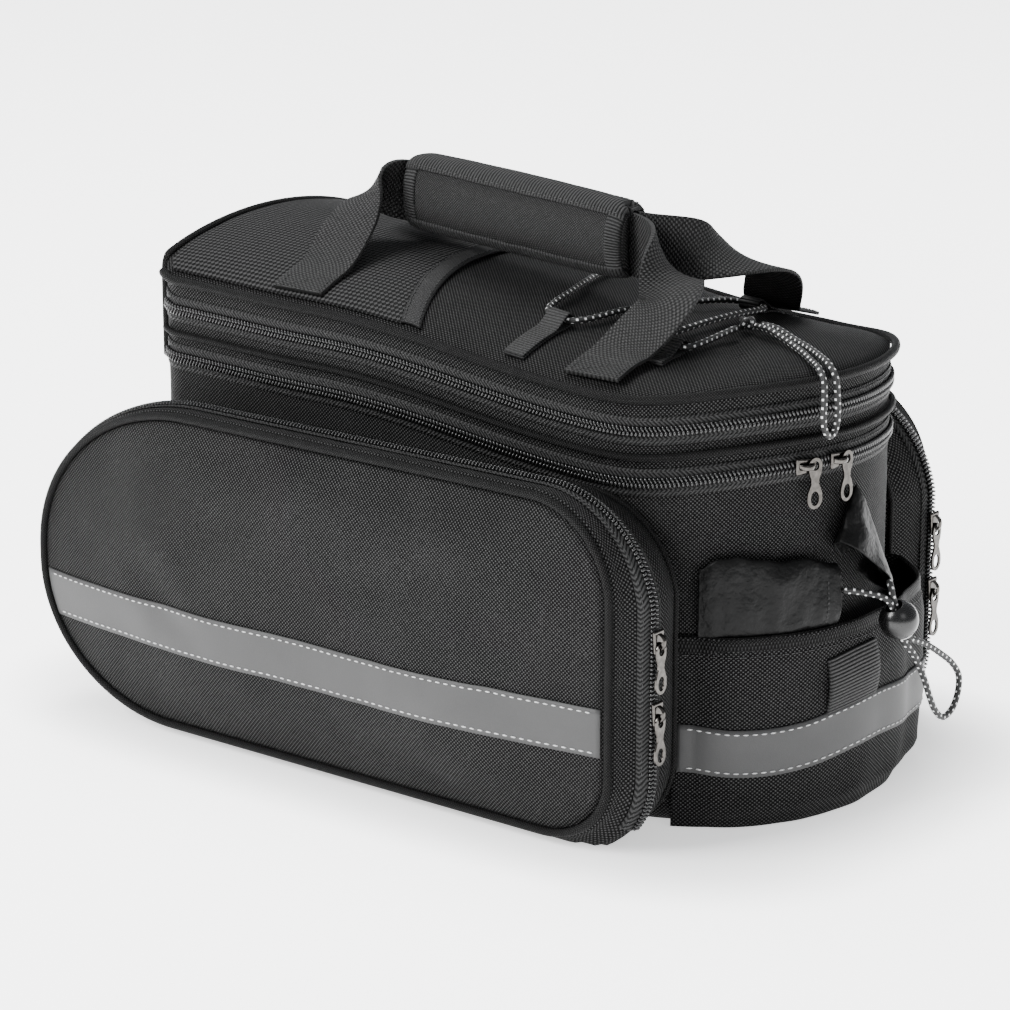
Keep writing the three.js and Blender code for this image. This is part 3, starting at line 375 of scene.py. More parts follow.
class Finish:
    def __init__(self, name, slot):
        self.slot = slot
        self.material = bpy.data.materials.new(name)
        self.material.use_nodes = True
        self.tree = self.material.node_tree
        self.shader = self.tree.nodes["Principled BSDF"]

    def node(self, kind, settings, inputs, output=0):
        node = self.tree.nodes.new(kind)
        for key, value in settings.items():
            setattr(node, key, value)
        for key, value in inputs.items():
            if isinstance(value, Wire):
                self.tree.links.new(value.socket, node.inputs[key])
            else:
                node.inputs[key].default_value = value
        return Wire(self.tree, node.outputs[output])

    def set(self, **values):
        for key, value in values.items():
            slot = self.shader.inputs[key.replace("_", " ")]
            if isinstance(value, Wire):
                self.tree.links.new(value.socket, slot)
            else:
                slot.default_value = value
        return self

    def cloth_uv(self):
        """The two distances over the cloth, in millimetres."""
        cloth = {"Vector": self.node("ShaderNodeUVMap", {"uv_map": "cloth"}, {})}
        return [self.node("ShaderNodeSeparateXYZ", {}, cloth, axis) / MM for axis in range(2)]

    def axes(self, count):
        """The first of the object's own x, y and z, in metres."""
        place = {"Vector": self.node("ShaderNodeTexCoord", {}, {}, "Object")}
        return [self.node("ShaderNodeSeparateXYZ", {}, place, axis) for axis in range(count)]

    def noise(self, size, detail=2.0, rough=0.5):
        place = self.node("ShaderNodeTexCoord", {}, {}, "Object")
        return self.node("ShaderNodeTexNoise", {}, {
            "Vector": place, "Scale": 1 / (size * MM), "Detail": detail, "Roughness": rough,
        })

    def colour(self, factor, low, high):
        return self.node("ShaderNodeMix", {"data_type": "RGBA"}, {
            "Factor": factor, 6: (*low, 1), 7: (*high, 1),
        }, 2)

    def dress(self, tone, greys, rough, shine, height, depth, strength=1.0, warm=0.0):
        """Wire the shader: a tone between two greys, its roughness and shine, and a bump."""
        dark, light = (grey(value, warm) for value in greys)
        bump = {"Height": height, "Distance": depth * MM, "Strength": strength}
        return self.set(Base_Color=self.colour(tone, dark, light), Roughness=rough,
                        Specular_IOR_Level=shine, Normal=self.node("ShaderNodeBump", {}, bump))


def grey(value, warm=0.0):
    return (value * (1 + warm), value, value * (1 - warm))


# %% [markdown]
# The main cloth is a coarse plain weave. Two sine waves, one for each thread direction, multiply
# into a chequer of soft domes. The domes are bumps, and their tops are also painted lighter in the
# colour: a painted highlight that shows as rows of small dots.

# %% Cloth finishes
def woven(name, slot, pitch, dark, light, depth, rough=0.72, wear=0.35):
    f = Finish(name, slot)
    x, y = f.cloth_uv()
    wave = math.pi / pitch
    threads = (x * wave).sine() * (y * wave).sine()
    slow, fine = f.noise(38, 3.0), f.noise(1.1, 1.0)
    # Painted highlight: the tops of the raised threads are painted lighter, and made less rough.
    painted_highlight_dots = threads.between(0.0, 0.8)
    tone = painted_highlight_dots * 0.85 + (slow - 0.5) * wear + (fine - 0.5) * 0.5
    return f.dress(tone, (dark, light), rough - painted_highlight_dots * 0.2, 0.08,
                   threads * 0.6 + fine * 0.25, depth)


MAIN_CLOTH = woven("main_cloth", "main_cloth", 0.95, 0.0003, 0.056, 0.45, wear=0.2)
TRIM_CLOTH = woven("trim_cloth", "trim_cloth", 0.7, 0.0006, 0.022, 0.3, 0.6, 0.15)


# %% [markdown]
# Webbing and binding tape have strong ribs across them, each broken by the lengthwise threads.
# Zip tape is a fine herringbone. The lid's pocket is a knitted mesh with rows of small holes.
# In all three the colour follows the relief: raised ribs, slants and yarns are painted lighter, a
# painted highlight, and the mesh's holes are painted darker, a painted shade.

# %% Ribbed, herringbone and mesh finishes
def ribbed(name, slot, pitch, dark, light, depth, checks=0.6):
    f = Finish(name, slot)
    x, y = f.cloth_uv()
    rib = (y * (math.pi / pitch)).sine()
    thread = (x * (math.pi / 1.25)).sine()
    weave = rib * thread * checks + rib.size() * (1.1 - checks)
    fine = f.noise(0.9, 1.0)
    # Painted highlight: the colour follows the ribs, lighter where they stand up.
    return f.dress(weave + (fine - 0.5) * 0.6, (dark, light), 0.62, 0.18, weave + fine * 0.2,
                   depth)


WEBBING = ribbed("webbing", "webbing", 1.1, 0.0006, 0.045, 0.5)
RIB_TAPE = ribbed("rib_tape", "webbing", 1.7, 0.0003, 0.032, 0.6, 0.12)
BINDING = ribbed("binding", "trim_cloth", 1.0, 0.0005, 0.026, 0.4, 0.25)


def zigzag(across, width):
    """A value that runs up and down by half a width, as the folds of a herringbone do."""
    return ((across / width).fraction() - 0.5).size() * width


def herringbone(name, slot, width=6.0, pitch=1.05):
    f = Finish(name, slot)
    x, y = f.cloth_uv()
    slant = ((y + zigzag(x, width)) * (math.pi / pitch)).sine()
    # Painted highlight: the colour follows the slanted folds, lighter where they stand up.
    return f.dress(slant * 0.5 + 0.5, (0.0003, 0.036), 0.58, 0.12, slant * 0.5, 0.35)


ZIP_TAPE = herringbone("zip_tape", "zip_coil")


def air_mesh(name, slot, width=10.4, pitch=2.6):
    f = Finish(name, slot)
    x, y = f.cloth_uv()
    zig, wave = zigzag(y, width), math.pi / pitch
    knit = (((x + zig) * wave).sine() * ((x - zig) * wave).sine()).between(-0.5, 0.45)
    fine = f.noise(0.8, 1.0)
    # Painted highlight and shade: the raised yarns are painted lighter and the holes darker.
    return f.dress(knit * 0.85 + (fine - 0.5) * 0.4, (0.0002, 0.046), 0.66, 0.08,
                   knit + fine * 0.2, 0.7)


AIR_MESH = air_mesh("air_mesh", "mesh_cloth")


# %% [markdown]
# The bottle sleeve's nylon is thin and shiny, with soft crinkles. The reflective tape is grey
# with a silvery gloss from its glass beads. Coil, metal and plastic are smooth with faint wear.

# %% Nylon, tape, coil, metal and plastic finishes
def thin_nylon(name, slot):
    f = Finish(name, slot)
    wide, crinkle = f.noise(9, 3.0, 0.55), f.noise(2.6, 2.0, 0.6)
    return f.dress(wide, (0.0003, 0.003), 0.48 + (crinkle - 0.5) * 0.2, 0.13,
                   wide + crinkle * 0.35, 1.6, 0.8)


def reflective_tape(name, slot):
    f = Finish(name, slot)
    beads, cloud = f.noise(0.5, 1.0), f.noise(26, 3.0)
    return f.dress(cloud * 0.6 + beads * 0.4, (0.028, 0.062), 0.5 + (cloud - 0.5) * 0.2, 0.25,
                   beads * 0.3 + cloud, 0.35, 0.5)


def smooth(name, slot, dark, light, rough, metallic=0.0, warm=0.0, size=6.0):
    f = Finish(name, slot)
    cloud, fine = f.noise(size, 3.0), f.noise(0.6, 1.0)
    f.set(Metallic=metallic)
    return f.dress(cloud, (dark, light), rough + (fine - 0.5) * 0.12, 0.5, fine, 0.04, 0.4, warm)


NYLON = thin_nylon("thin_nylon", "thin_nylon")
REFLECTIVE = reflective_tape("reflective_tape", "reflective")
COIL = smooth("zip_coil", "zip_coil", 0.003, 0.010, 0.2)
METAL = smooth("pull_metal", "pull_metal", 0.02, 0.11, 0.19, 1.0, 0.07, 2.0)
PLASTIC = smooth("lock_plastic", "lock_plastic", 0.0008, 0.003, 0.26)
RIM_METAL = smooth("lock_rim", "pull_metal", 0.35, 0.55, 0.2, 1.0)
PALE_THREAD = smooth("pale_thread", "reflective", 0.40, 0.60, 0.7)
DARK_THREAD = smooth("dark_thread", "trim_cloth", 0.004, 0.016, 0.5)


# %% [markdown]
# The elastic cord is a black braid with small pale flecks in rows that take turns along it.

# %% Cord finish
def flecked(name, slot, row_width=0.75 * math.pi, pitch=3.8):
    f = Finish(name, slot)
    x, y = f.cloth_uv()
    turn = (x / row_width).fraction()
    other = (x / (2 * row_width)).fraction().above(0.5)
    along = (y / pitch + other * 0.5).fraction()
    long = 1 - (along - 0.5).size().between(0.1, 0.16)
    spot = long * (1 - (turn - 0.5).size().between(0.2, 0.3))
    wind = math.pi / 0.55
    braid = ((x + y * 0.9) * wind).sine() * ((x - y * 0.9) * wind).sine()
    return f.dress(spot, (0.002, 0.8), 0.55, 0.5, braid * 0.5 + spot * 0.6, 0.22)


CORD = flecked("flecked_cord", "cord_cloth")
print("finishes", len(bpy.data.materials))

# %% [markdown]
# Each kind of seam has its own stitch: its pitch, its length, width and height, and its thread.

# %% Stitches
ZIP_STITCH = (3.0, (2.2, 0.5, 0.4), DARK_THREAD)
TAPE_STITCH = (3.2, (2.3, 0.55, 0.45), DARK_THREAD)
HEM_STITCH = (3.4, (2.4, 0.5, 0.4), DARK_THREAD)
SLEEVE_STITCH = (2.4, (1.7, 0.45, 0.4), DARK_THREAD)
TAB_STITCH = (1.6, (1.2, 0.45, 0.4), DARK_THREAD)
BOX_STITCH = (2.9, (2.2, 0.55, 0.5), DARK_THREAD)
STRIP_STITCH = (4.4, (3.1, 0.8, 0.6), PALE_THREAD)

# %% [markdown]
# ## The cords
# Elastic cord comes first, because its length is real and it must hang as cord does. One piece
# laces the lid's webbing tabs and ends in a knot, a loop of the same cord hangs from that knot
# over the rear edge, and a third draws the bottle sleeve shut through a ball lock. The points are
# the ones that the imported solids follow. A cord over the lid lies a little above the lid's dome.

# %% The lid's height
HALF_LENGTH, HALF_WIDTH, BAG_HEIGHT = 179.0, 88.0, 210.0
ROUND_END, FRONT_CORNER, BASE_CORNER = 85.0, 18.0, 10.0
ROUND_START = HALF_LENGTH - ROUND_END
CORD_RADIUS, LID_GAP = 1.5, 0.6
SEAM_LINE = [(0, 0.043), (0.3, 0.031), (0.8, -0.036), (1, 0.0)]


def seam_rise(x):
    return BAG_HEIGHT * from_table(SEAM_LINE, (x + HALF_LENGTH) / (2 * HALF_LENGTH))


def dome(x, y):
    beyond = max(0.0, (x - ROUND_START) / ROUND_END)
    reach = max(0.0, 1 - beyond**2 - (y / HALF_WIDTH) ** 2)
    return mix(20, 14, ease((x + HALF_LENGTH) / (2 * HALF_LENGTH))) * reach**0.8


def lid_height(x, y):
    return BAG_HEIGHT + seam_rise(x) + dome(x, y)


def over_lid(x, y, above):
    reach = math.hypot(max(0.0, x - ROUND_START) / ROUND_END, y / HALF_WIDTH)
    pull = 1 / reach if reach > 1 else 1
    if x > ROUND_START:
        inside = (ROUND_START + (x - ROUND_START) * pull, y * pull)
    else:
        inside = (x, y)
    return [x, y, lid_height(*inside) + above + CORD_RADIUS + LID_GAP]


# %% Cord routes
DRAWCORD_ROUTE = [
    (7, -21.5, 110.5), (11.5, -18, 110), (16.5, -13.5, 108.8), (20.6, -9.6, 107.2),
    (23.6, -6.6, 104.4), (25, -1.6, 93.6), (26.4, 3.5, 82.8), (28, 8.5, 76.4), (29, 13.6, 68),
    (30, 17.2, 60), (30.5, 20.4, 52.5), (31, 25, 44.4), (31.4, 32, 39), (31.6, 40, 41.5),
    (31.4, 45, 49), (31, 45.6, 56), (30, 41, 63), (29, 32, 70), (28, 20.5, 77.4),
    (27.2, 12, 81.6), (26.4, 6.6, 84.2), (25, 1.6, 95), (23.6, -3.5, 105.8),
    (22, -2.6, 109.6), (18.6, 0.4, 112.6),
]
LACING_ROUTE = [
    (-5, 46.2, 0), (2, 46.2, 0), (8.4, 46, 0), (12.6, 41.5, 0), (19, 18, 0), (28, -18, 0),
    (32.6, -41.5, 0), (36.6, -46, 0), (43, -46.2, 0), (49.4, -46, 0), (53.6, -41.5, 0),
    (61, -16, 0), (73, 20, 0), (77.6, 41.5, 0), (81.6, 46, 0), (88, 46.2, 0), (94.4, 46, 0),
    (98, 41.5, 0), (99.5, 18, 0), (98, -12, 0), (95.6, -36.5, 0), (98.2, -41.2, 0),
    (105, -41.2, 0), (111.8, -41.2, 0), (114, -36.5, 0), (115, -18, 0), (115.5, -5.7, 0.6),
]
LOOP_ROUTE = [
    (120.6, 0.6, 2.4), (132, -4, 3), (146, -10, 1), (160, -18, 0.5), (170, -25, 1.6),
    (177, -30.7, 3.2), (182.3, -35, -1), (184.5, -37.7, -9), (185.1, -39, -17),
    (185.6, -37.9, -22.8), (186, -34.3, -25.7), (186.2, -30.6, -23.4), (186.1, -28.9, -17),
    (185.8, -28.9, -9), (184.2, -28.4, 0.2), (178, -24.6, 4.4), (170, -19, 2.6),
    (160, -12.4, 1), (146, -5, 1), (132, 1, 3), (121.4, 4.6, 2.4),
]
TAB_THICKNESS = 0.9
LACING_RISE = TAB_THICKNESS + LID_GAP
hanging = smooth_line([(HALF_LENGTH + out, y, z) for out, y, z in DRAWCORD_ROUTE], 1.3)
lacing = smooth_line([over_lid(x, y, up + LACING_RISE) for x, y, up in LACING_ROUTE], 1.6)
looping = smooth_line([over_lid(*spot) for spot in LOOP_ROUTE], 1.4)
print("cord lengths", [round(length_of(line)) for line in (hanging, lacing, looping)])


# %% Cords
def cord(name, line, node):
    piece = tube(name, line, CORD_RADIUS, CORD)
    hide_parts(node)
    return piece


# %% [markdown]
# The knot is an overhand knot pulled tight: a trefoil curve squeezed to three cord widths.

# %% Knot
KNOT = Vector((115.5, 1.2, lid_height(115.5, 1.2) + 4.8))
KNOT_REACH, KNOT_HEIGHT, KNOT_STEPS = 1.15 / 1.2, 1.7, 60
trefoil = [
    (
        KNOT.x + KNOT_REACH * (math.sin(t) + 2 * math.sin(2 * t)),
        KNOT.y + KNOT_REACH * (math.cos(t) - 2 * math.cos(2 * t)),
        KNOT.z - KNOT_HEIGHT * math.sin(3 * t),
    )
    for t in np.linspace(0, 2 * math.pi, KNOT_STEPS + 1)
]
knot = tube("lid_cord_knot", trefoil, 1.45, CORD, sides=10, closed=True)
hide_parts("cord_knot")

# %% [markdown]
# The ball lock is turned like a bead: its profile, with a hole along the axis, is spun once
# round. Its rim at the lower hole is a bright ring.

# %% Ball lock
LOCK_PLACE = Vector((HALF_LENGTH + 25, 0, 94.3))
LOCK_AXIS = Vector((0.12, 0.42, -0.9)).normalized()
LOCK_RADIUS, LOCK_BORE = 9.25, 4.0


def turned(name, profile, axis, place, finish):
    """A profile of (radius, height) points spun round an axis and closed."""
    bm = bmesh.new()
    ring = [bm.verts.new((radius * MM, 0, height * MM)) for radius, height in profile]
    edges = [bm.edges.new(pair) for pair in zip(ring, ring[1:] + ring[:1])]
    bmesh.ops.spin(
        bm, geom=ring + edges, cent=(0, 0, 0), axis=(0, 0, 1), dvec=(0, 0, 0),
        angle=2 * math.pi, steps=48, use_merge=True, use_duplicate=False,
    )
    bmesh.ops.remove_doubles(bm, verts=bm.verts, dist=FINE_WELD)
    bmesh.ops.recalc_face_normals(bm, faces=bm.faces)
    turn = Vector(UP).rotation_difference(axis).to_matrix().to_4x4()
    bmesh.ops.transform(bm, matrix=Matrix.Translation(place * MM) @ turn, verts=bm.verts)
    return keep_mesh(name, bm, finish)


lip = math.acos(LOCK_BORE / LOCK_RADIUS)
ball = [
    (LOCK_RADIUS * math.cos(a), LOCK_RADIUS * math.sin(a))
    for a in np.linspace(-lip + 0.08, lip - 0.08, 28)
]
top = LOCK_RADIUS * math.sin(lip)
ball += [(LOCK_BORE + 0.25, top - 0.1), (LOCK_BORE, top - 0.6), (LOCK_BORE, 0.6 - top),
         (LOCK_BORE + 0.25, 0.1 - top)]
lock = turned("ball_lock", ball, LOCK_AXIS, LOCK_PLACE, PLASTIC)
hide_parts("cord_lock")
rim = [(4.1 + 0.75 * math.cos(a), top - 0.3 + 0.5 * math.sin(a))
       for a in np.linspace(0, 2 * math.pi, 12, endpoint=False)]
lock_rim = turned("ball_lock_rim", rim, LOCK_AXIS, LOCK_PLACE, RIM_METAL)

cord("sleeve_cord", hanging, "drawcord")
cord("lid_lacing", lacing, "shock_lacing")
cord("lid_cord_loop", looping, "shock_loop")

# %% [markdown]
# ## The main bag
# The same few rules that lay out the solids lay out the cloth. The plan is a D: a flat front end
# with two small corners, two sides, and an elliptic round end. A place counts the seven
# stretches of that outline, and a height is bent by the sagging seam line.

# %% Main bag lines
QUARTER = math.pi / 2
STRAIGHT = HALF_WIDTH - FRONT_CORNER
CORNER_X = FRONT_CORNER - HALF_LENGTH


def arc_place(cx, cy, rx, ry, turn):
    nx, ny = math.cos(turn) / rx, math.sin(turn) / ry
    size = math.hypot(nx, ny)
    return cx + rx * math.cos(turn), cy + ry * math.sin(turn), nx / size, ny / size


def outline(place):
    """x, y and the outward direction at a place on the main bag's plan."""
    stretch = min(max(int(place), 0), 6)
    u = place - stretch
    if stretch == 0:
        return -HALF_LENGTH, -STRAIGHT * u, -1, 0
    if stretch == 1:
        return arc_place(CORNER_X, -STRAIGHT, FRONT_CORNER, FRONT_CORNER, math.pi + QUARTER * u)
    if stretch == 2:
        return mix(CORNER_X, ROUND_START, u), -HALF_WIDTH, 0, -1
    if stretch == 3:
        return arc_place(ROUND_START, 0, ROUND_END, HALF_WIDTH, -QUARTER + math.pi * u)
    if stretch == 4:
        return mix(ROUND_START, CORNER_X, u), HALF_WIDTH, 0, 1
    if stretch == 5:
        return arc_place(CORNER_X, STRAIGHT, FRONT_CORNER, FRONT_CORNER, QUARTER + QUARTER * u)
    return -HALF_LENGTH, STRAIGHT * (1 - u), -1, 0


def even_run(line, start, end, step):
    """Places at nearly even lengths along an outline, and the length that they cover."""
    fine = np.linspace(start, end, 1600)
    run = run_along(np.array([line(place)[:2] for place in fine]))
    return np.interp(np.linspace(0, run[-1], int(run[-1] / step) + 1), run, fine), run[-1]


def pick(places, u):
    return places[int(round(u * (len(places) - 1)))]


def wall_ways(places):
    """The outward direction at each place of the main bag's plan."""
    return [[*outline(place)[2:], 0] for place in places]


def on_wall(place, height, out=0.0):
    x, y, nx, ny = outline(place)
    share = height / BAG_HEIGHT
    level = height + seam_rise(x) * min(1, share / 0.7) + dome(x, y) * share**3
    return np.array([x + nx * out, y + ny * out, level])


WALL_RUN, WALL_LENGTH = even_run(outline, 0, 7, 3.2)
print("main bag outline", round(WALL_LENGTH), "mm round")

# %% [markdown]
# The wall and the base are one sewn shell. Its cloth swells a little between the seams that hold
# it, and shows shallow puckers next to them, as a foam-lined wall does when the bag is filled.

# %% Main bag's shell
LOWER_ZIP, MIDDLE_SEAM, UPPER_ZIP = 171, 183, 195
SEAM_HEIGHTS = [(BASE_CORNER, LOWER_ZIP), (LOWER_ZIP, MIDDLE_SEAM), (MIDDLE_SEAM, UPPER_ZIP),
                (UPPER_ZIP, BAG_HEIGHT)]
BASE_ROWS, CORNER_ROWS = 0.1, 0.16
SHELL_WALL = 2.4


def wall_swell(place, height):
    x, y, _, _ = outline(place)
    swell = 0.9 * ripple(x, y, height, 60) + 0.35 * ripple(x, y, height, 14)
    for low, high in SEAM_HEIGHTS:
        if low <= height <= high:
            share = (height - low) / (high - low)
            return swell * min(1, 4 * share * (1 - share)) * min(1, (high - low) / 40)
    return 0.0


def shell_place(u, v):
    place = pick(WALL_RUN, u)
    if v < BASE_ROWS:
        share = v / BASE_ROWS * (1 - BASE_CORNER / HALF_WIDTH)
        x, y, _, _ = outline(place)
        return x * share * 1.06, y * share, 0
    if v < CORNER_ROWS:
        turn = (v - BASE_ROWS) / (CORNER_ROWS - BASE_ROWS) * QUARTER
        return on_wall(place, BASE_CORNER * (1 - math.cos(turn)),
                       -BASE_CORNER * (1 - math.sin(turn)))
    height = mix(BASE_CORNER, BAG_HEIGHT - 0.6, (v - CORNER_ROWS) / (1 - CORNER_ROWS))
    return on_wall(place, height, wall_swell(place, height))


shell = shaped("main_bag_shell", len(WALL_RUN) - 1, 84, shell_place, (WALL_LENGTH, 238),
               MAIN_CLOTH, SHELL_WALL)
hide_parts("main_tub", "zip_band")
print("shell faces", len(shell.data.polygons))

# %% [markdown]
# The lid is a padded panel. Its cloth is laid as rings that shrink towards the middle, and a
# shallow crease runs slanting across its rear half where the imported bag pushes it.

# %% Lid
LID_CREASES = [((108, 0), (152, -52), 5, 2.2), ((52, 60), (86, 8), 7, 1.2)]


def crease(x, y, start, end, width, depth):
    """A soft groove along a line from start to end."""
    ax, ay = start
    bx, by = end
    run = ((x - ax) * (bx - ax) + (y - ay) * (by - ay)) / ((bx - ax) ** 2 + (by - ay) ** 2)
    near = clamp(run)
    off = math.hypot(x - mix(ax, bx, near), y - mix(ay, by, near))
    return -depth * math.exp(-((off / width) ** 2)) * math.sin(math.pi * clamp(run * 0.9 + 0.05))


def lid_top(x, y):
    reach = math.hypot(max(0.0, x - ROUND_START) / ROUND_END, y / HALF_WIDTH)
    loose = clamp((1 - reach) * 6)
    wave = 0.8 * ripple(x, y, 0, 55) + 0.3 * ripple(x, y, 30, 18)
    return (wave + sum(crease(x, y, *row) for row in LID_CREASES)) * loose


def flat_lid(spot):
    return spot[0], spot[1]


def lid_place(u, v):
    x, y, _, _ = outline(pick(WALL_RUN, u))
    x, y = x * v, y * v
    return x, y, lid_height(x, y) + lid_top(x, y)


lid = shaped("lid_cloth", len(WALL_RUN) - 1, 34, lid_place, (1, 1), MAIN_CLOTH, SHELL_WALL,
             flat=flat_lid)
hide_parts("lid")

# %% [markdown]
# Pipings are cords covered in bias-cut cloth, sewn into the seams. Zips are a herringbone tape
# with a nylon coil on it: each side of the coil is a row of rounded teeth, half a step apart.

# %% Pipings and zips of the main bag
SEAM_RUN, SEAM_LENGTH = even_run(outline, 1.55, 5.45, 2.4)
SEAM_WAYS = wall_ways(SEAM_RUN)
SEAM_UP = np.tile([0.0, 0, 1], (len(SEAM_RUN), 1))


def wall_piping(name, height, radius):
    line = [on_wall(place, height, radius + 0.3) for place in SEAM_RUN]
    cross = (np.array(SEAM_WAYS), SEAM_UP)
    piece = tube(name, line, radius, TRIM_CLOTH, cross=cross)
    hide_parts(name.replace("_cord", "_piping"))
    return piece


wall_piping("lid_cord", BAG_HEIGHT, 2.2)
wall_piping("middle_cord", MIDDLE_SEAM, 1.6)

COIL_PITCH, COIL_APART, COIL_LEAN, COIL_TOOTH = 2.0, 1.25, 0.26, (1.3, 3.2, 2.1)
ZIP_WIDTH, ZIP_SEAM = 13, 4.9


def zip_coil(name, line, tops, across):
    """Two rows of teeth along a zip's middle line."""
    line, tops, across = (np.array(a, float) for a in (line, tops, across))
    run = run_along(line)
    places = []
    for k, at in enumerate(np.arange(2, run[-1] - 2, COIL_PITCH / 2)):
        spot, top, side = (row_at(at, run, table) for table in (line, tops, across))
        side = side if k % 2 else -side
        lean = row_at(at + 0.7, run, line) - spot + side * COIL_LEAN
        places.append(stand(spot + side * COIL_APART, lean, top))
    return copies(name, tooth(*COIL_TOOTH), places, COIL)


def add_zip(name, run, length, on_cloth, ways, lifts, words):
    """A zip's tape, its coil and a row of stitches near each edge of the tape. on_cloth gives
    the point at a place of the run, a shift across the tape and a lift off the cloth, ways the
    outward direction and the direction across the tape at each place."""
    tape_lift, coil_lift, seam_lift = lifts
    tops, across = ways
    tape = shaped(f"{name}_tape", 6, len(run) - 1,
                  lambda u, v: on_cloth(pick(run, v), (u - 0.5) * ZIP_WIDTH, tape_lift),
                  (ZIP_WIDTH, length), ZIP_TAPE, 0.5)
    zip_coil(f"{name}_coil", [on_cloth(place, 0, coil_lift) for place in run], tops, across)
    for word, shift in zip(words, (-ZIP_SEAM, ZIP_SEAM)):
        seam = [on_cloth(place, shift, seam_lift) for place in run]
        seam_stitches(f"{name}_stitches_{word}", seam, tops, *ZIP_STITCH)
    return tape


for name, height in (("upper_zip", UPPER_ZIP), ("lower_zip", LOWER_ZIP)):
    tape = add_zip(
        name, SEAM_RUN, SEAM_LENGTH,
        lambda place, shift, lift: on_wall(place, height + shift, lift),
        (SEAM_WAYS, SEAM_UP), (0.5, 1.3, 0.75), ("low", "high"),
    )
    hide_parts(name)


# %% [markdown]
# The front end's own binding climbs one corner, arches over the end and comes down the other.

# %% Front binding
FRONT_CORD_RADIUS, FRONT_CORD_OUT = 2.2, 1.9


def front_arch():
    foot, shoulder, corner = 162.5, 203, 1.25
    heights = np.linspace(foot, shoulder, 14)
    spots = [(corner, height) for height in heights] + [(corner * 0.97, 208)]
    spots += [(place, BAG_HEIGHT) for place in np.linspace(corner * 0.9, 0, 34)]
    half = [on_wall(place, height, FRONT_CORD_OUT) for place, height in spots]
    return half + [p * (1, -1, 1) for p in half[-2::-1]]


arch_line = smooth_line(front_arch(), 2.2)
front_cord = tube("front_cord", arch_line, FRONT_CORD_RADIUS, TRIM_CLOTH, up=(1, 0, 0))
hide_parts("front_binding")

# %% [markdown]
# ## The mesh pocket
# A sheet of spacer mesh lies on the lid's front half, sewn down at its edge and open at a bound
# rim that curves across the lid.

# %% Mesh pocket
MESH_REACH, MESH_FRONT, RIM_WIDTH = 85.0, -175.5, 12.2


def mesh_edge(y):
    """How far back the pocket's bound rim reaches: it curves forwards in the middle."""
    return -8 - 26 * (1 - (y / HALF_WIDTH) ** 2)


def mesh_place(u, v):
    y = mix(-MESH_REACH, MESH_REACH, v)
    corner = FRONT_CORNER - (FRONT_CORNER**2 - max(0.0, abs(y) - STRAIGHT) ** 2) ** 0.5
    x = mix(MESH_FRONT + corner, mesh_edge(y) - RIM_WIDTH + 0.9, u)
    lift = 1.4 + 1.1 * math.sin(math.pi * u) * (1 - (y / MESH_REACH) ** 2) ** 0.5
    return x, y, lid_height(x, y) + lift + 0.4 * ripple(x, y, 0, 24)


mesh_pocket = shaped("lid_mesh", 60, 62, mesh_place, (133, 160), AIR_MESH, 0.9,
                     out=upwards, flat=flat_lid)
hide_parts("mesh_pocket")


def rim_place(u, v):
    y = mix(-MESH_REACH, MESH_REACH, v)
    x = mesh_edge(y) - RIM_WIDTH * (1 - u)
    round_off = 0.9 * math.sin(math.pi * u) ** 0.5
    return x, y, lid_height(x, y) + 1.6 + round_off + 0.3 * ripple(x, y, 5, 20)


mesh_rim = shaped("lid_mesh_binding", 8, 70, rim_place, (12, 165), BINDING, 1.3, out=upwards)
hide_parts("mesh_binding")
for word, shift in (("front", -10.4), ("rear", -1.6)):
    spots = [(mesh_edge(y) + shift, y) for y in np.linspace(1 - MESH_REACH, MESH_REACH - 1, 60)]
    seam = [(x, y, lid_height(x, y) + 2.45) for x, y in spots]
    seam_stitches(f"mesh_binding_stitches_{word}", seam, [UP] * len(seam), *TAPE_STITCH)

# %% [markdown]
# ## The carry handle
# Two webbing straps are sewn flat to the lid. Each climbs, turns on edge, and runs through the
# padded grip that is wrapped round both.

# %% Handle straps
GRIP_LENGTH, GRIP_HEIGHT, GRIP_DEPTH = 135.0, 38.0, 28.0
GRIP_RISE, GRIP_DROOP, GRIP_SHIFT, GRIP_LEAN = 257, 9, -9.0, -7.0
HALF_GRIP = GRIP_LENGTH / 2
WEB_WIDTH, WEB_THICKNESS, WEB_APART = 30.0, 1.8, 1.8
STRAP_FOOT, STRAP_CREST = 88, 42


def grip_axis(x):
    return GRIP_RISE - GRIP_DROOP * x / GRIP_LENGTH


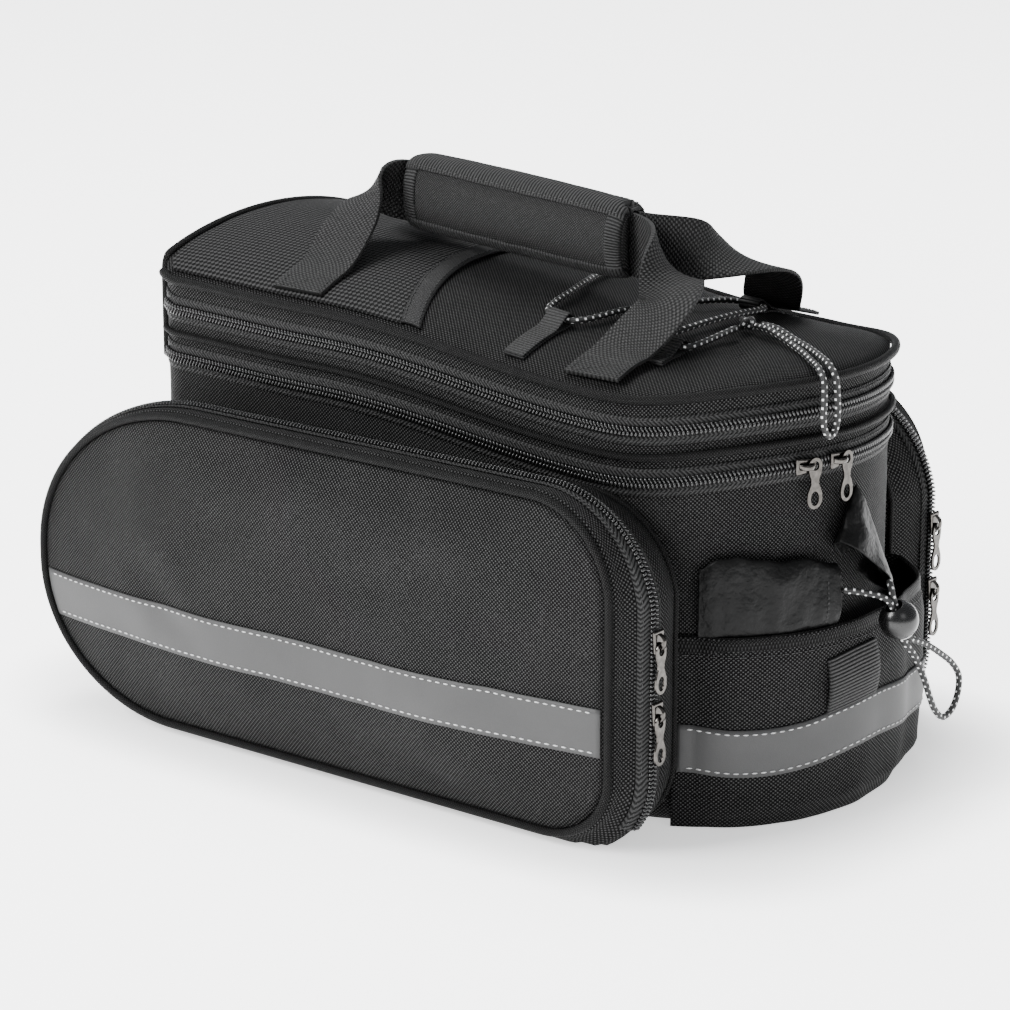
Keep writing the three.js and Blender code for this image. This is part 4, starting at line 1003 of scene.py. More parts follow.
def strap_route(side):
    """The strap's points, each with the direction of its width: flat on the lid, on edge in
    the grip and turning between them."""
    flat, turning, on_edge = (1, 0, 0), (0.75, 0, 0.66), (0, 0, 1)

    def sewn(x, inset, up=0.0):
        y = HALF_WIDTH - inset
        return x, y * side, lid_height(x, y) + 3.1 + up

    def in_grip(along, apart, up=0.0):
        return GRIP_SHIFT + along, GRIP_LEAN + side * apart, grip_axis(along) + up

    front = [
        (sewn(-STRAP_FOOT, 5), flat), (sewn(-STRAP_FOOT, 16), flat),
        (sewn(-STRAP_FOOT + 1, 27, 2), flat),
        ((-STRAP_FOOT - 1, side * STRAP_CREST, grip_axis(-HALF_GRIP) - 13), flat),
        (in_grip(-HALF_GRIP - 13, 17, 1), turning),
        (in_grip(-HALF_GRIP - 2, WEB_APART + 1.2), on_edge),
        (in_grip(-HALF_GRIP + 12, WEB_APART + 0.3), on_edge),
        (in_grip(0, WEB_APART), on_edge),
    ]
    rear = [
        (in_grip(HALF_GRIP - 12, WEB_APART + 0.3), on_edge),
        (in_grip(HALF_GRIP + 2, WEB_APART + 1.2), on_edge),
        (in_grip(HALF_GRIP + 30, 17, -1), (-0.75, 0, 0.66)),
        ((STRAP_FOOT + 13, side * STRAP_CREST, grip_axis(HALF_GRIP) - 15), (-1, 0, 0)),
        (sewn(STRAP_FOOT + 2, 27, 2), (-1, 0, 0)),
        (sewn(STRAP_FOOT, 16), (-1, 0, 0)), (sewn(STRAP_FOOT, 5), (-1, 0, 0)),
    ]
    return [(*spot, *across) for spot, across in front + rear]


for word, side in (("left", -1), ("right", 1)):
    line = smooth_line(strap_route(side), 2.5)
    piece = strap(f"carry_strap_{word}", line[:, :3], line[:, 3:], WEB_WIDTH, WEB_THICKNESS,
                  WEBBING, 12)
    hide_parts(f"handle_strap_{word}")
    print(piece.name, round(length_of(line[:, :3])), "mm")


# %% [markdown]
# The grip is a foam pad in a cloth cover. It starts as an oval tube a little thinner than the
# packed one, is remeshed into even squares, and then a short cloth simulation blows it up so
# that its cover swells between its ends. No point may move further than two millimetres.

# %% Padded grip
GRIP_PROFILE = [
    (-1, 0.76), (-0.96, 0.9), (-0.88, 0.97), (-0.5, 1), (0, 1.01), (0.5, 1), (0.88, 0.97),
    (0.96, 0.9), (1, 0.76),
]
GRIP_ROWS, COVER_SHARE, SLIMMER = 32, 0.75, 0.04
SLOT_DEPTH, SLOT_HEIGHT = 10.4, 31
PUFF_FRAMES = 20


def oval(x, depth, height, squareness, turn):
    power = 2 / squareness
    return (GRIP_SHIFT + x, GRIP_LEAN + depth / 2 * signed_power(math.cos(turn), power),
            grip_axis(x) + height / 2 * signed_power(math.sin(turn), power))


def cover_ring(at, size, turn):
    size = size - SLIMMER
    return oval(at * HALF_GRIP, GRIP_DEPTH * size, GRIP_HEIGHT * mix(1, size, 0.8), 2.6, turn)


def grip_place(u, v):
    """Along the cover to the far end, and back through the slot that holds the straps."""
    turn = 2 * math.pi * u
    if v <= COVER_SHARE:
        step = v / COVER_SHARE * (len(GRIP_PROFILE) - 1)
        at, size = row_at(step, range(len(GRIP_PROFILE)), np.array(GRIP_PROFILE, float))
        return cover_ring(at, size, turn)
    if v >= 1:
        return cover_ring(*GRIP_PROFILE[0], turn)
    row = 1 / GRIP_ROWS
    back = clamp((v - COVER_SHARE - row) / (1 - COVER_SHARE - 2 * row))
    return oval(mix(HALF_GRIP, -HALF_GRIP, back), SLOT_DEPTH, SLOT_HEIGHT, 6, turn)


def bake_modifiers(piece):
    """Put what the modifiers make into the mesh itself."""
    shape = piece.evaluated_get(bpy.context.evaluated_depsgraph_get())
    mesh = bpy.data.meshes.new_from_object(shape)
    piece.modifiers.clear()
    old, piece.data = piece.data, mesh
    bpy.data.meshes.remove(old)


def puff(piece, voxel, pressure, cap):
    """Remesh a closed pad, blow it up as cloth and keep every point within the cap."""
    even = piece.modifiers.new("even", "REMESH")
    even.mode = "VOXEL"
    even.voxel_size = voxel * MM
    bake_modifiers(piece)
    start = np.array([v.co[:] for v in piece.data.vertices])
    cloth = piece.modifiers.new("air", "CLOTH")
    cloth.settings.quality = 5
    cloth.settings.use_pressure = True
    cloth.settings.uniform_pressure_force = pressure
    cloth.settings.effector_weights.gravity = 0
    scene = bpy.context.scene
    for frame_number in range(1, PUFF_FRAMES + 1):
        scene.frame_set(frame_number)
    bake_modifiers(piece)
    scene.frame_set(1)
    moved = np.array([v.co[:] for v in piece.data.vertices]) - start
    far = np.linalg.norm(moved, axis=1)
    moved *= np.minimum(1, cap * MM / np.maximum(far, 1e-9))[:, None]
    piece.data.vertices.foreach_set("co", (start + moved).ravel())
    print(piece.name, "swelled", round(float(far.max() / MM), 2), "mm at most")
    piece.data.polygons.foreach_set("use_smooth", [True] * len(piece.data.polygons))
    finer = piece.modifiers.new("finer", "SUBSURF")
    finer.levels = finer.render_levels = 1


def woven_by_place(name, slot, pitch, dark, light, depth):
    """The main weave for a remeshed pad. It has no UV map, so the weave reads its own axes."""
    f = Finish(name, slot)
    x, y, z = (axis / MM for axis in f.axes(3))
    wave = math.pi / pitch
    threads = (x * wave).sine() * ((z + y * 0.8) * wave).sine()
    fine = f.noise(1.1, 1.0)
    # Painted highlight: the tops of the raised threads are painted lighter, as on the main cloth.
    tone = threads.between(0.05, 0.95) * 0.8 + (fine - 0.5) * 0.5
    return f.dress(tone, (dark, light), 0.6 - threads * 0.08, 0.2, threads * 0.5 + fine * 0.25,
                   depth)


PAD_CLOTH = woven_by_place("pad_cloth", "main_cloth", 0.75, 0.0008, 0.05, 0.3)
grip = shaped("grip_pad", 40, GRIP_ROWS, grip_place, (1, 1), PAD_CLOTH)
puff(grip, 1.8, 4.0, 2.0)
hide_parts("handle_grip")

# %% [markdown]
# The pad's cover is edged with wide ribbed tape: round the front and the back face, and as a
# broad band over the top, where the wrap closes. Each tape is laid on the swollen cover by
# looking from outside towards the grip's axis for the place where the cover is met.

# %% Grip tapes
LOOK_FROM, MM_PER_DEGREE = 0.08, 0.3
OFF_EDGES = (0.137, 0.061, 0)
TAPE_END, END_TAPE = HALF_GRIP - 1.5, 8.5
grip_tree = BVHTree.FromObject(grip, bpy.context.evaluated_depsgraph_get())


def away_from_grip(degrees):
    turn = math.radians(degrees)
    return Vector((0, math.cos(turn), math.sin(turn)))


def on_grip(x, degrees, proud):
    """A place on the grip's cover, at a distance along it and an angle round its axis. The
    line of sight is shifted a little, so that it never runs along an edge of the mesh."""
    away = away_from_grip(degrees)
    axis = Vector((GRIP_SHIFT + x, GRIP_LEAN, grip_axis(x))) + Vector(OFF_EDGES)
    hit = grip_tree.ray_cast(axis * MM + away * LOOK_FROM, -away)[0]
    return np.array(hit / MM + away * proud) if hit else np.array(axis + away * 16)


def grip_tape(name, start, end, low, high, proud, along):
    """A tape from start to end along the grip, between two angles round it."""
    width, length = abs(high - low) * MM_PER_DEGREE, end - start
    span = (width, length) if along else (length, width)

    def place(u, v):
        across, run = (u, v) if along else (v, u)
        edge = 0.5 * (2 * u - 1) ** 8
        return on_grip(mix(start, end, run), mix(low, high, across), proud - edge)

    steps = (10, 80) if along else (8, 40)
    return shaped(name, *steps, place, span, RIB_TAPE, 1.2,
                  out=lambda p: (0, p[1] - GRIP_LEAN * MM, p[2] - GRIP_RISE * MM))


for word, sign in (("front", 1), ("back", -1)):
    top, side, under, edge = (90 + sign * turn for turn in (28, 146, 132, 156))
    for end, near in (("left", -TAPE_END), ("right", TAPE_END - END_TAPE)):
        grip_tape(f"grip_tape_{word}_{end}", near, near + END_TAPE, top, side, 0.9, False)
    grip_tape(f"grip_tape_{word}_low", -TAPE_END, TAPE_END, under, edge, 1.1, True)
grip_tape("grip_tape_top", -TAPE_END, TAPE_END, 64, 128, 2.0, True)
for word, degrees in (("front", 124), ("back", 68)):
    seam = [on_grip(x, degrees, 2.1) for x in np.linspace(2 - TAPE_END, TAPE_END - 2, 60)]
    seam_stitches(f"grip_tape_stitches_{word}", seam, [away_from_grip(degrees)] * 60,
                  *TAPE_STITCH)

# %% [markdown]
# ## The panniers
# Each pannier has a rounded outline in the side plane, a gusset that bulges out from the main
# bag's side, and a crowned panel. A place counts the outline's eight stretches from the bottom.

# %% Pannier outline
PANNIER_FRONT, PANNIER_REAR, PANNIER_LOW, PANNIER_HIGH = -215.0, 133.0, 8.0, 162.0
PANNIER_MIDDLE = (-41.0, 85.0)
PANNIER_DEPTH, BACK = 41.0, 88.5
CORNERS = [(0.1, 0.2), (0.12, 0.28), (0.28, 0.52), (0.24, 0.44)]
LONG, TALL = PANNIER_REAR - PANNIER_FRONT, PANNIER_HIGH - PANNIER_LOW
(LRX, LRZ), (HRX, HRZ), (HFX, HFZ), (LFX, LFZ) = [(rx * LONG, rz * TALL) for rx, rz in CORNERS]


def pannier_outline(place):
    """x, z and the outward direction at a place on a pannier's outline."""
    stretch = int(place) % 8
    u = place - int(place)
    if stretch == 0:
        return mix(PANNIER_FRONT + LFX, PANNIER_REAR - LRX, u), PANNIER_LOW, 0, -1
    if stretch == 1:
        return arc_place(PANNIER_REAR - LRX, PANNIER_LOW + LRZ, LRX, LRZ, -QUARTER + QUARTER * u)
    if stretch == 2:
        return PANNIER_REAR, mix(PANNIER_LOW + LRZ, PANNIER_HIGH - HRZ, u), 1, 0
    if stretch == 3:
        return arc_place(PANNIER_REAR - HRX, PANNIER_HIGH - HRZ, HRX, HRZ, QUARTER * u)
    if stretch == 4:
        return mix(PANNIER_REAR - HRX, PANNIER_FRONT + HFX, u), PANNIER_HIGH, 0, 1
    if stretch == 5:
        return arc_place(PANNIER_FRONT + HFX, PANNIER_HIGH - HFZ, HFX, HFZ, QUARTER + QUARTER * u)
    if stretch == 6:
        return PANNIER_FRONT, mix(PANNIER_HIGH - HFZ, PANNIER_LOW + LFZ, u), -1, 0
    return arc_place(PANNIER_FRONT + LFX, PANNIER_LOW + LFZ, LFX, LFZ, math.pi + QUARTER * u)


GUSSET_GROW = [(0, 0.12), (0.08, 0.22), (0.35, 0.32), (0.7, 0.36), (1, 0.13)]
GUSSET_TOP = [(0, -0.2), (0.08, -0.08), (0.35, 0.03), (0.7, 0.1), (1, 0.13)]


def gusset_grow(place, depth):
    up = max(0.0, pannier_outline(place)[3])
    share = depth / PANNIER_DEPTH
    return PANNIER_DEPTH * mix(from_table(GUSSET_GROW, share), from_table(GUSSET_TOP, share), up)


def on_pannier(side, place, grow, depth, floor=0.0):
    x, z, nx, nz = pannier_outline(place)
    return np.array([x + nx * grow, side * (BACK + depth), max(floor, z + nz * grow)])


PANNIER_RUN, PANNIER_LENGTH = even_run(pannier_outline, 0, 8 - 1e-9, 3.0)
RIM_STEPS = len(PANNIER_RUN) - 1
PANEL_RIM = PANNIER_DEPTH + 2.3


def rim_spot(u):
    """A place on the outline; the last one is the first again."""
    return PANNIER_RUN[int(round(u * RIM_STEPS)) % RIM_STEPS]


def to_middle(x, z, share):
    return mix(PANNIER_MIDDLE[0], x, share), mix(PANNIER_MIDDLE[1], z, share)


def flat_side(spot):
    return spot[0], spot[2]


print("pannier outline", round(PANNIER_LENGTH), "mm round")

# %% [markdown]
# The panel's cloth is soft and unlined, so it carries wide, low waves and a few shallow creases.
# The waves die out at the rim, where the seam holds the cloth.

# %% Panel and gusset surfaces
PANEL_FOLDS = [
    ((60, 128), (-20, 96), 9, 1.8), ((-60, 132), (-120, 104), 10, 1.6),
    ((96, 100), (62, 58), 8, 1.5), ((-150, 86), (-96, 52), 10, 1.5),
    ((-20, 30), (58, 18), 7, 1.2),
]


def panel_out(side, x, z, share):
    loose = clamp((1 - share) * 7)
    wave = 2.2 * ripple(x, z, 70 * side, 75) + 0.7 * ripple(x, z, 40 * side, 22)
    wave += sum(crease(x, z, *fold) for fold in PANEL_FOLDS)
    return PANEL_RIM + 12 * (1 - share**3) + (wave - 0.6) * loose


def panel_share(x, z):
    """How far a point in the side plane lies from the panel's middle towards its rim."""
    dx, dz = x - PANNIER_MIDDLE[0], z - PANNIER_MIDDLE[1]
    turn = math.atan2(dz, dx)
    return math.hypot(dx, dz) / float(np.interp(turn, RIM_TURNS, RIM_REACH))


rim_points = [pannier_outline(place)[:2] for place in np.linspace(0, 7.999, 900)]
from_middle = [(x - PANNIER_MIDDLE[0], z - PANNIER_MIDDLE[1]) for x, z in rim_points]
RIM_TURNS, RIM_REACH = zip(*sorted((math.atan2(z, x), math.hypot(x, z)) for x, z in from_middle))


def add_panel(side, word):
    def place(u, v):
        x, z = to_middle(*pannier_outline(rim_spot(u))[:2], v)
        return x, side * (BACK + panel_out(side, x, z, v)), z

    piece = shaped(f"{word}_side_panel", RIM_STEPS, 40, place, (1, 1), MAIN_CLOTH, 1.5,
                   out=lambda p: (0, side, 0), flat=flat_side)
    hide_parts(f"{word}_pannier_panel")


GUSSET_ROWS = [0.0, 0.03, 0.08, 0.16, 0.25, 0.35, 0.45, 0.55, 0.63, 0.7, 0.78, 0.86, 0.93,
               1.0, 1.02]


def add_gusset(side, word):
    """The gusset's cloth; its last row is turned in under the panel's piping."""
    def place(u, v):
        spot, share = rim_spot(u), pick(GUSSET_ROWS, v)
        if share > 1:
            return on_pannier(side, spot, 1.4, PANEL_RIM - 0.4)
        depth = share * PANNIER_DEPTH
        x, z, _, _ = pannier_outline(spot)
        wave = 0.7 * ripple(x, z, depth + 50 * side, 30) + 0.3 * ripple(x, z, depth, 9)
        grow = gusset_grow(spot, depth) + math.sin(math.pi * share) * wave
        return on_pannier(side, spot, grow, depth)

    piece = shaped(f"{word}_gusset", RIM_STEPS, len(GUSSET_ROWS) - 1, place,
                   (PANNIER_LENGTH, 50), MAIN_CLOTH, 1.2)
    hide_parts(f"{word}_pannier_tub")


def add_back_panel(side, word):
    """The flat panel that closes the pannier next to the main bag."""
    def place(u, v):
        spot = rim_spot(u)
        x, z, nx, nz = pannier_outline(spot)
        grow = gusset_grow(spot, 0) - 0.4
        x, z = to_middle(x + nx * grow, max(0.5, z + nz * grow), v)
        return x, side * (BACK + 0.05), z

    shaped(f"{word}_back_panel", RIM_STEPS, 8, place, (1, 1), MAIN_CLOTH, 1.0,
           out=lambda p: (0, -side, 0), flat=flat_side)


# %% [markdown]
# Piping closes the seam between gusset and panel. The pannier's zip runs round the gusset from
# low on the rear end, over the top, to low on the front end, and the reflective strip is sewn
# across the panel with pale thread.

# %% Pannier trim
ZIP_DEPTH = 28.0
ZIP_RUN, PANNIER_ZIP_LENGTH = even_run(pannier_outline, 1.6, 7.55, 2.2)
WELT_DEPTH = 2.2
STRIPE_WIDTH, STRIPE_HEIGHT, STRIP_THICKNESS = 23.0, 60.0, 0.5


def pannier_cord(name, side, places, grow, depth, floor, radius, sides, closed=False):
    """A covered cord round the gusset, with its cross given by the outline."""
    line = [on_pannier(side, place, grow(place), depth, floor) for place in places]
    return tube(name, line, radius, TRIM_CLOTH, sides=sides, closed=closed,
                cross=pannier_ways(side, places))


def pannier_ways(side, places):
    """At each place, the way out from the outline and the way out from the main bag."""
    out = np.array([[nx, 0, nz] for _, _, nx, nz in map(pannier_outline, places)])
    return out, np.tile([0.0, side, 0], (len(places), 1))


def add_pannier_piping(side, word):
    places = [rim_spot(k / RIM_STEPS) for k in range(RIM_STEPS + 1)]
    piece = pannier_cord(f"{word}_side_cord", side, places, lambda place: 2.3, PANEL_RIM, 2.0,
                         2.0, 12, True)
    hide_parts(f"{word}_pannier_piping")


def add_back_seam(side, word):
    """The welt where the gusset's cloth is turned and sewn down along the main bag's side."""
    places, _ = even_run(pannier_outline, 1.2, 7.7, 3.0)
    pannier_cord(f"{word}_back_seam", side, places,
                 lambda place: gusset_grow(place, WELT_DEPTH) + 1.3, WELT_DEPTH, 1.4, 1.3, 10)


def add_pannier_zip(side, word):
    def on_gusset(place, shift, lift):
        depth = ZIP_DEPTH + shift
        return on_pannier(side, place, gusset_grow(place, depth) + lift, depth)

    tape = add_zip(f"{word}_zip", ZIP_RUN, PANNIER_ZIP_LENGTH, on_gusset,
                   pannier_ways(side, ZIP_RUN), (0.95, 1.5, 1.15), ("inner", "outer"))
    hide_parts(f"{word}_pannier_zip")


def stripe_span(z):
    """The strip's two ends at a height: the outline's, drawn in to the piping."""
    xs = [x for x, rim_z in rim_points if abs(rim_z - z) < 1.5]
    return min(xs) + 1.5, max(xs) - 1.5


def strip_stitches(name, on_strip, us, tops):
    """Pale stitches near both edges of a reflective strip."""
    for word, share in (("low", 0.09), ("high", 0.91)):
        seam_stitches(f"{name}_stitches_{word}", [on_strip(u, share) for u in us], tops,
                      *STRIP_STITCH)


def add_stripe(side, word):
    def on_strip(u, v, proud=0.75):
        z = STRIPE_HEIGHT + (v - 0.5) * STRIPE_WIDTH
        x = mix(*stripe_span(z), u)
        return x, side * (BACK + panel_out(side, x, z, panel_share(x, z)) + proud), z

    piece = shaped(f"{word}_reflective_strip", 120, 8, on_strip, (330, STRIPE_WIDTH), REFLECTIVE,
                   STRIP_THICKNESS, out=lambda p: (0, side, 0))
    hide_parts(f"{word}_pannier_stripe")
    us = np.linspace(0.01, 0.99, 110)
    strip_stitches(f"{word}_strip", lambda u, v: on_strip(u, v, 0.87), us,
                   [(0, side, 0)] * len(us))


for word, side in (("left", -1), ("right", 1)):
    for add in (add_panel, add_gusset, add_back_panel, add_pannier_piping, add_back_seam,
                add_pannier_zip, add_stripe):
        add(side, word)
print("panniers done")

# %% [markdown]
# ## The rear pocket
# A soft pocket wraps the round end. Its cloth stands off most at the far side, where the bottle
# sleeve fills it. Its mouth has a turned hem, and a reflective strip runs round it with a ribbed
# webbing loop for a lamp above the strip.

# %% Rear pocket
POCKET_START, POCKET_END, POCKET_HEIGHT, POCKET_BULGE = 3.15, 3.88, 93.0, 22.0
POCKET_PLAN = [(0, 0.04), (0.15, 0.36), (0.35, 0.42), (0.5, 0.45), (0.65, 0.62), (0.8, 1),
               (0.9, 0.95), (1, 0.04)]
POCKET_SIDE = [(0.0, 0.5), (0.02, 0.6), (0.12, 0.9), (0.45, 1), (0.78, 0.96), (1, 0.85)]
REAR_STRIPE = [(0, 0.3), (0.2, 0.28), (0.5, 0.35), (0.7, 0.32), (1, 0.25)]


def pocket_wave(u, height):
    loose = math.sin(math.pi * clamp(u)) ** 0.5
    low = math.exp(-height / 20)
    run = u * 150
    return loose * (ripple(run, height, 90, 34) + 0.35 * ripple(run, height, 7, 10)
                    + low * 1.2 * ripple(run, 0, 3, 13))


def pocket_spot(u):
    return mix(POCKET_START, POCKET_END, u)


def from_round_end(spot):
    """The way out from the axis of the round end."""
    return spot[0] - ROUND_START * MM, spot[1], 0


def on_pocket(u, height, proud=0.0):
    x, y, nx, ny = outline(pocket_spot(u))
    keep = from_table(POCKET_SIDE, height / POCKET_HEIGHT)
    out = POCKET_BULGE * from_table(POCKET_PLAN, u) * keep
    out = max(2.6, out + pocket_wave(u, height) * min(1, out / 6)) + proud
    return np.array([x + nx * out, y + ny * out, height])


POCKET_LENGTH = 182.0
pocket = shaped("rear_pocket_cloth", 110, 44,
                lambda u, v: on_pocket(u, mix(0.6, POCKET_HEIGHT, v)),
                (POCKET_LENGTH, POCKET_HEIGHT), MAIN_CLOTH, 1.4, out=from_round_end)
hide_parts("rear_pocket")

HEM_MIDDLE, HEM_RISE, HEM_THICK = POCKET_HEIGHT - 5, 5.6, 1.0


def hem_place(u, v):
    turn, u = 2 * math.pi * v, mix(0.004, 0.996, u)
    out = np.array(wall_ways([pocket_spot(u)])[0]) * (HEM_THICK * math.cos(turn) - 0.9)
    return on_pocket(u, HEM_MIDDLE) + out + (0, 0, HEM_RISE * signed_power(math.sin(turn), 0.6))


shaped("rear_pocket_hem", 110, 20, hem_place, (POCKET_LENGTH, 24), TRIM_CLOTH)
us = np.linspace(0.02, 0.98, 120)
seam_stitches("rear_pocket_hem_stitches", [on_pocket(u, POCKET_HEIGHT - 8.6, 0.5) for u in us],
              wall_ways(pocket_spot(us)), *HEM_STITCH)


def strip_spot(u):
    return mix(0.012, 0.95, u)


def strip_low(place):
    return from_table(REAR_STRIPE, place) * POCKET_HEIGHT


def on_rear_strip(u, v, proud=0.75):
    place = strip_spot(u)
    return on_pocket(place, strip_low(place) + v * STRIPE_WIDTH, proud)


rear_strip = shaped("rear_reflective_strip", 100, 8, on_rear_strip, (165, STRIPE_WIDTH),
                    REFLECTIVE, STRIP_THICKNESS, out=from_round_end)
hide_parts("rear_stripe")
strip_stitches("rear_strip", lambda u, v: on_rear_strip(u, v, 0.9), us,
               wall_ways(pocket_spot(strip_spot(us))))

LOOP_LENGTH = 27


def loop_place(u, v):
    place = mix(0.35, 0.5, u)
    lift = 0.9 + 2.2 * math.sin(math.pi * v)
    return on_pocket(place, strip_low(place) + STRIPE_WIDTH - 1 + v * LOOP_LENGTH, lift)


lamp_loop = shaped("lamp_loop", 14, 24, loop_place, (30, LOOP_LENGTH), RIB_TAPE, 1.5,
                   out=from_round_end)
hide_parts("light_loop")

# %% [markdown]
# ## The bottle sleeve
# The sleeve is a bag of thin nylon pushed down into the pocket. Two of its folds stand out: a
# flat doubled one on the left that ends in a stitched hem, and a fuller one on the right whose
# mouth gapes where the cord gathers it.

# %% Sleeve folds
SLEEVE_ROWS = [(0, 93, 125, 0.45), (0.15, 93, 131, 0.7), (0.35, 93, 130, 0.85),
               (0.7, 93, 127, 0.95), (1, 93, 123, 1)]


def left_fold(u, v):
    low, high, depth = (from_table([(row[0], row[k]) for row in SLEEVE_ROWS], u)
                        for k in (1, 2, 3))
    x, y, nx, ny = outline(mix(3.19, 3.43, u))
    turn, half = 2 * math.pi * v, 4 * depth
    up, off = math.sin(turn), math.cos(turn)
    gather = 1.5 * ripple(u * 60, 7 * up, off, 6) + 1.2 * ripple(u * 60, 14 * up, 4 * off, 15)
    gather = gather * clamp((0.92 - u) * 12) + 0.9 * clamp((u - 0.9) * 30)
    out = half + 0.9 + (half + gather * depth) * off
    rise = signed_power(up, 0.8)
    crown = 1.4 * ripple(u * 60, 5, 3, 8) * clamp(rise)
    return x + nx * out, y + ny * out, (high + low) / 2 + (high - low) / 2 * rise + crown


sleeve_left = shaped("sleeve_left", 80, 64, left_fold, (64, 80), NYLON, 0.5)
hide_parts("sleeve_fold_left")
hem_line = [np.array(left_fold(0.89, v)) for v in np.linspace(0.07, -0.14, 30) % 1.0]
hem_out = [*outline(3.41)[2:], 0]
seam_stitches("sleeve_hem_stitches", [p + np.array(hem_out) * 0.5 for p in hem_line],
              [hem_out] * len(hem_line), *SLEEVE_STITCH)

# Each row is the fold's middle, the direction of its mouth in y and z, and its two half widths.
RIGHT_FOLD = [
    (182.4, 9, 129, 0.47, -0.88, 31, 2.7), (184.8, 3, 124, 0.62, -0.78, 29, 5),
    (187.6, -4.5, 118, 0.78, -0.63, 25, 7),
]


def right_fold(u, v):
    x, y, z, run_y, run_z, length, width = row_at(u * 2, range(3), np.array(RIGHT_FOLD))
    turn = 2 * math.pi * v
    up, off = math.sin(turn), math.cos(turn)
    along = (length + 1.2 * ripple(u * 30, 9 * up, 9 * off, 7)) * off
    swell = width * (1.25 + 0.35 * ripple(13 * up, 13 * off, u * 20, 8))
    if u <= 0:
        return x, y + run_y * length * off, z + run_z * length * off
    return x + swell * up, y + run_y * along, z + run_z * along


sleeve_right = shaped("sleeve_right", 30, 72, right_fold, (26, 130), NYLON, 0.5)
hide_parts("sleeve_fold_right")

# %% [markdown]
# ## Webbing tabs
# Four short tabs are folded round the lacing cord and sewn flat to the lid.

# %% Tabs
TABS = [("1", 43, -1, 36, 46.2), ("2", 105, -1, 18, 41.2), ("3", 2, 1, 15.1, 46.2),
        ("4", 88, 1, 15.1, 46.2)]


def tab_line(x, side, length, tip):
    """A tab's middle line: along the lid to the cord, round the cord and back on top."""
    loop = CORD_RADIUS + 1.02 + TAB_THICKNESS / 2
    middle = np.array(over_lid(x, side * tip, LACING_RISE))
    far, near = side * (tip + length), side * (tip + loop * 3.4)
    low = [(x, y, lid_height(x, y) + 1.05) for y in np.linspace(far, near, 4)]
    bend = [middle + (0, -side * loop * math.cos(a), loop * math.sin(a))
            for a in np.radians([-70, -25, 25, 70, 110])]
    high = [(x, y, lid_height(x, y) + 2.37) for y in np.linspace(near, far, 4)]
    return smooth_line([*low, *bend, *high], 1.2)


for number, x, side, length, tip in TABS:
    line = tab_line(x, side, length, tip)
    slope = (2, 0, lid_height(x + 1, side * tip) - lid_height(x - 1, side * tip))
    tab = strap(f"lacing_tab_{number}", line, [slope] * len(line), 11, TAB_THICKNESS, RIB_TAPE, 6)
    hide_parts(f"cord_tab_{number}")
    if length > 15:
        across = tip + 9
        ends = [(x + dx, side * across, lid_height(x + dx, side * across) + 2.95)
                for dx in np.linspace(-4.6, 4.6, 8)]
        seam_stitches(f"lacing_tab_{number}_stitches", ends, [UP] * len(ends), *TAB_STITCH)

# %% [markdown]
# ## Zip sliders and pulls
# A slider is a rounded body with a bridge over it. Its flat pull is cut from a sheet of metal
# with an eye at one end and a wide loop at the other. A filled 2D curve makes both holes.

# %% Slider and pull shapes
SLIDER_SIZE = Vector((11, 8, 1.8))
BRIDGE_HALF, BRIDGE_CREST, BRIDGE_DROP, BRIDGE_AXES = 4.1, 4.55, 3.1, (1.4, 0.6)
PULL_EYE, PULL_RISE = 3.93, 0.8


def slider_body():
    bm = bmesh.new()
    bmesh.ops.create_cube(bm, size=1)
    bmesh.ops.scale(bm, vec=SLIDER_SIZE * MM, verts=bm.verts)
    bmesh.ops.translate(bm, vec=Vector((0, 0, SLIDER_SIZE.z / 2)) * MM, verts=bm.verts)
    for vert in bm.verts:
        if vert.co.x > 0:
            vert.co.y *= 0.72
    bmesh.ops.bevel(bm, geom=bm.edges[:], offset=0.85 * MM, offset_type="OFFSET", segments=3,
                    profile=0.5, affect="EDGES", material=-1)
    bridge = bmesh.new()
    bmesh.ops.create_grid(bridge, x_segments=20, y_segments=8, size=0.5)
    for vert in bridge.verts:
        turn, run = 2 * math.pi * (vert.co.y + 0.5), vert.co.x * 2
        rise = BRIDGE_CREST - BRIDGE_DROP * abs(run) ** 3
        wide, tall = BRIDGE_AXES[0] * math.cos(turn), BRIDGE_AXES[1] * math.sin(turn)
        vert.co = Vector((run * BRIDGE_HALF, wide, rise + tall)) * MM
    bmesh.ops.remove_doubles(bridge, verts=bridge.verts, dist=FINE_WELD)
    bmesh.ops.recalc_face_normals(bridge, faces=bridge.faces)
    stamp = bpy.data.meshes.new("stamp")
    bridge.to_mesh(stamp)
    bridge.free()
    bm.from_mesh(stamp)
    bpy.data.meshes.remove(stamp)
    return bm


def ring_of(spline, points):
    spline.points.add(len(points) - 1)
    for point, (x, y) in zip(spline.points, points):
        point.co = (x * MM, y * MM, 0, 1)
    spline.use_cyclic_u = True


def arc(cx, rx, ry, low, high, count):
    return [(cx + rx * math.cos(a), ry * math.sin(a)) for a in np.linspace(low, high, count)]


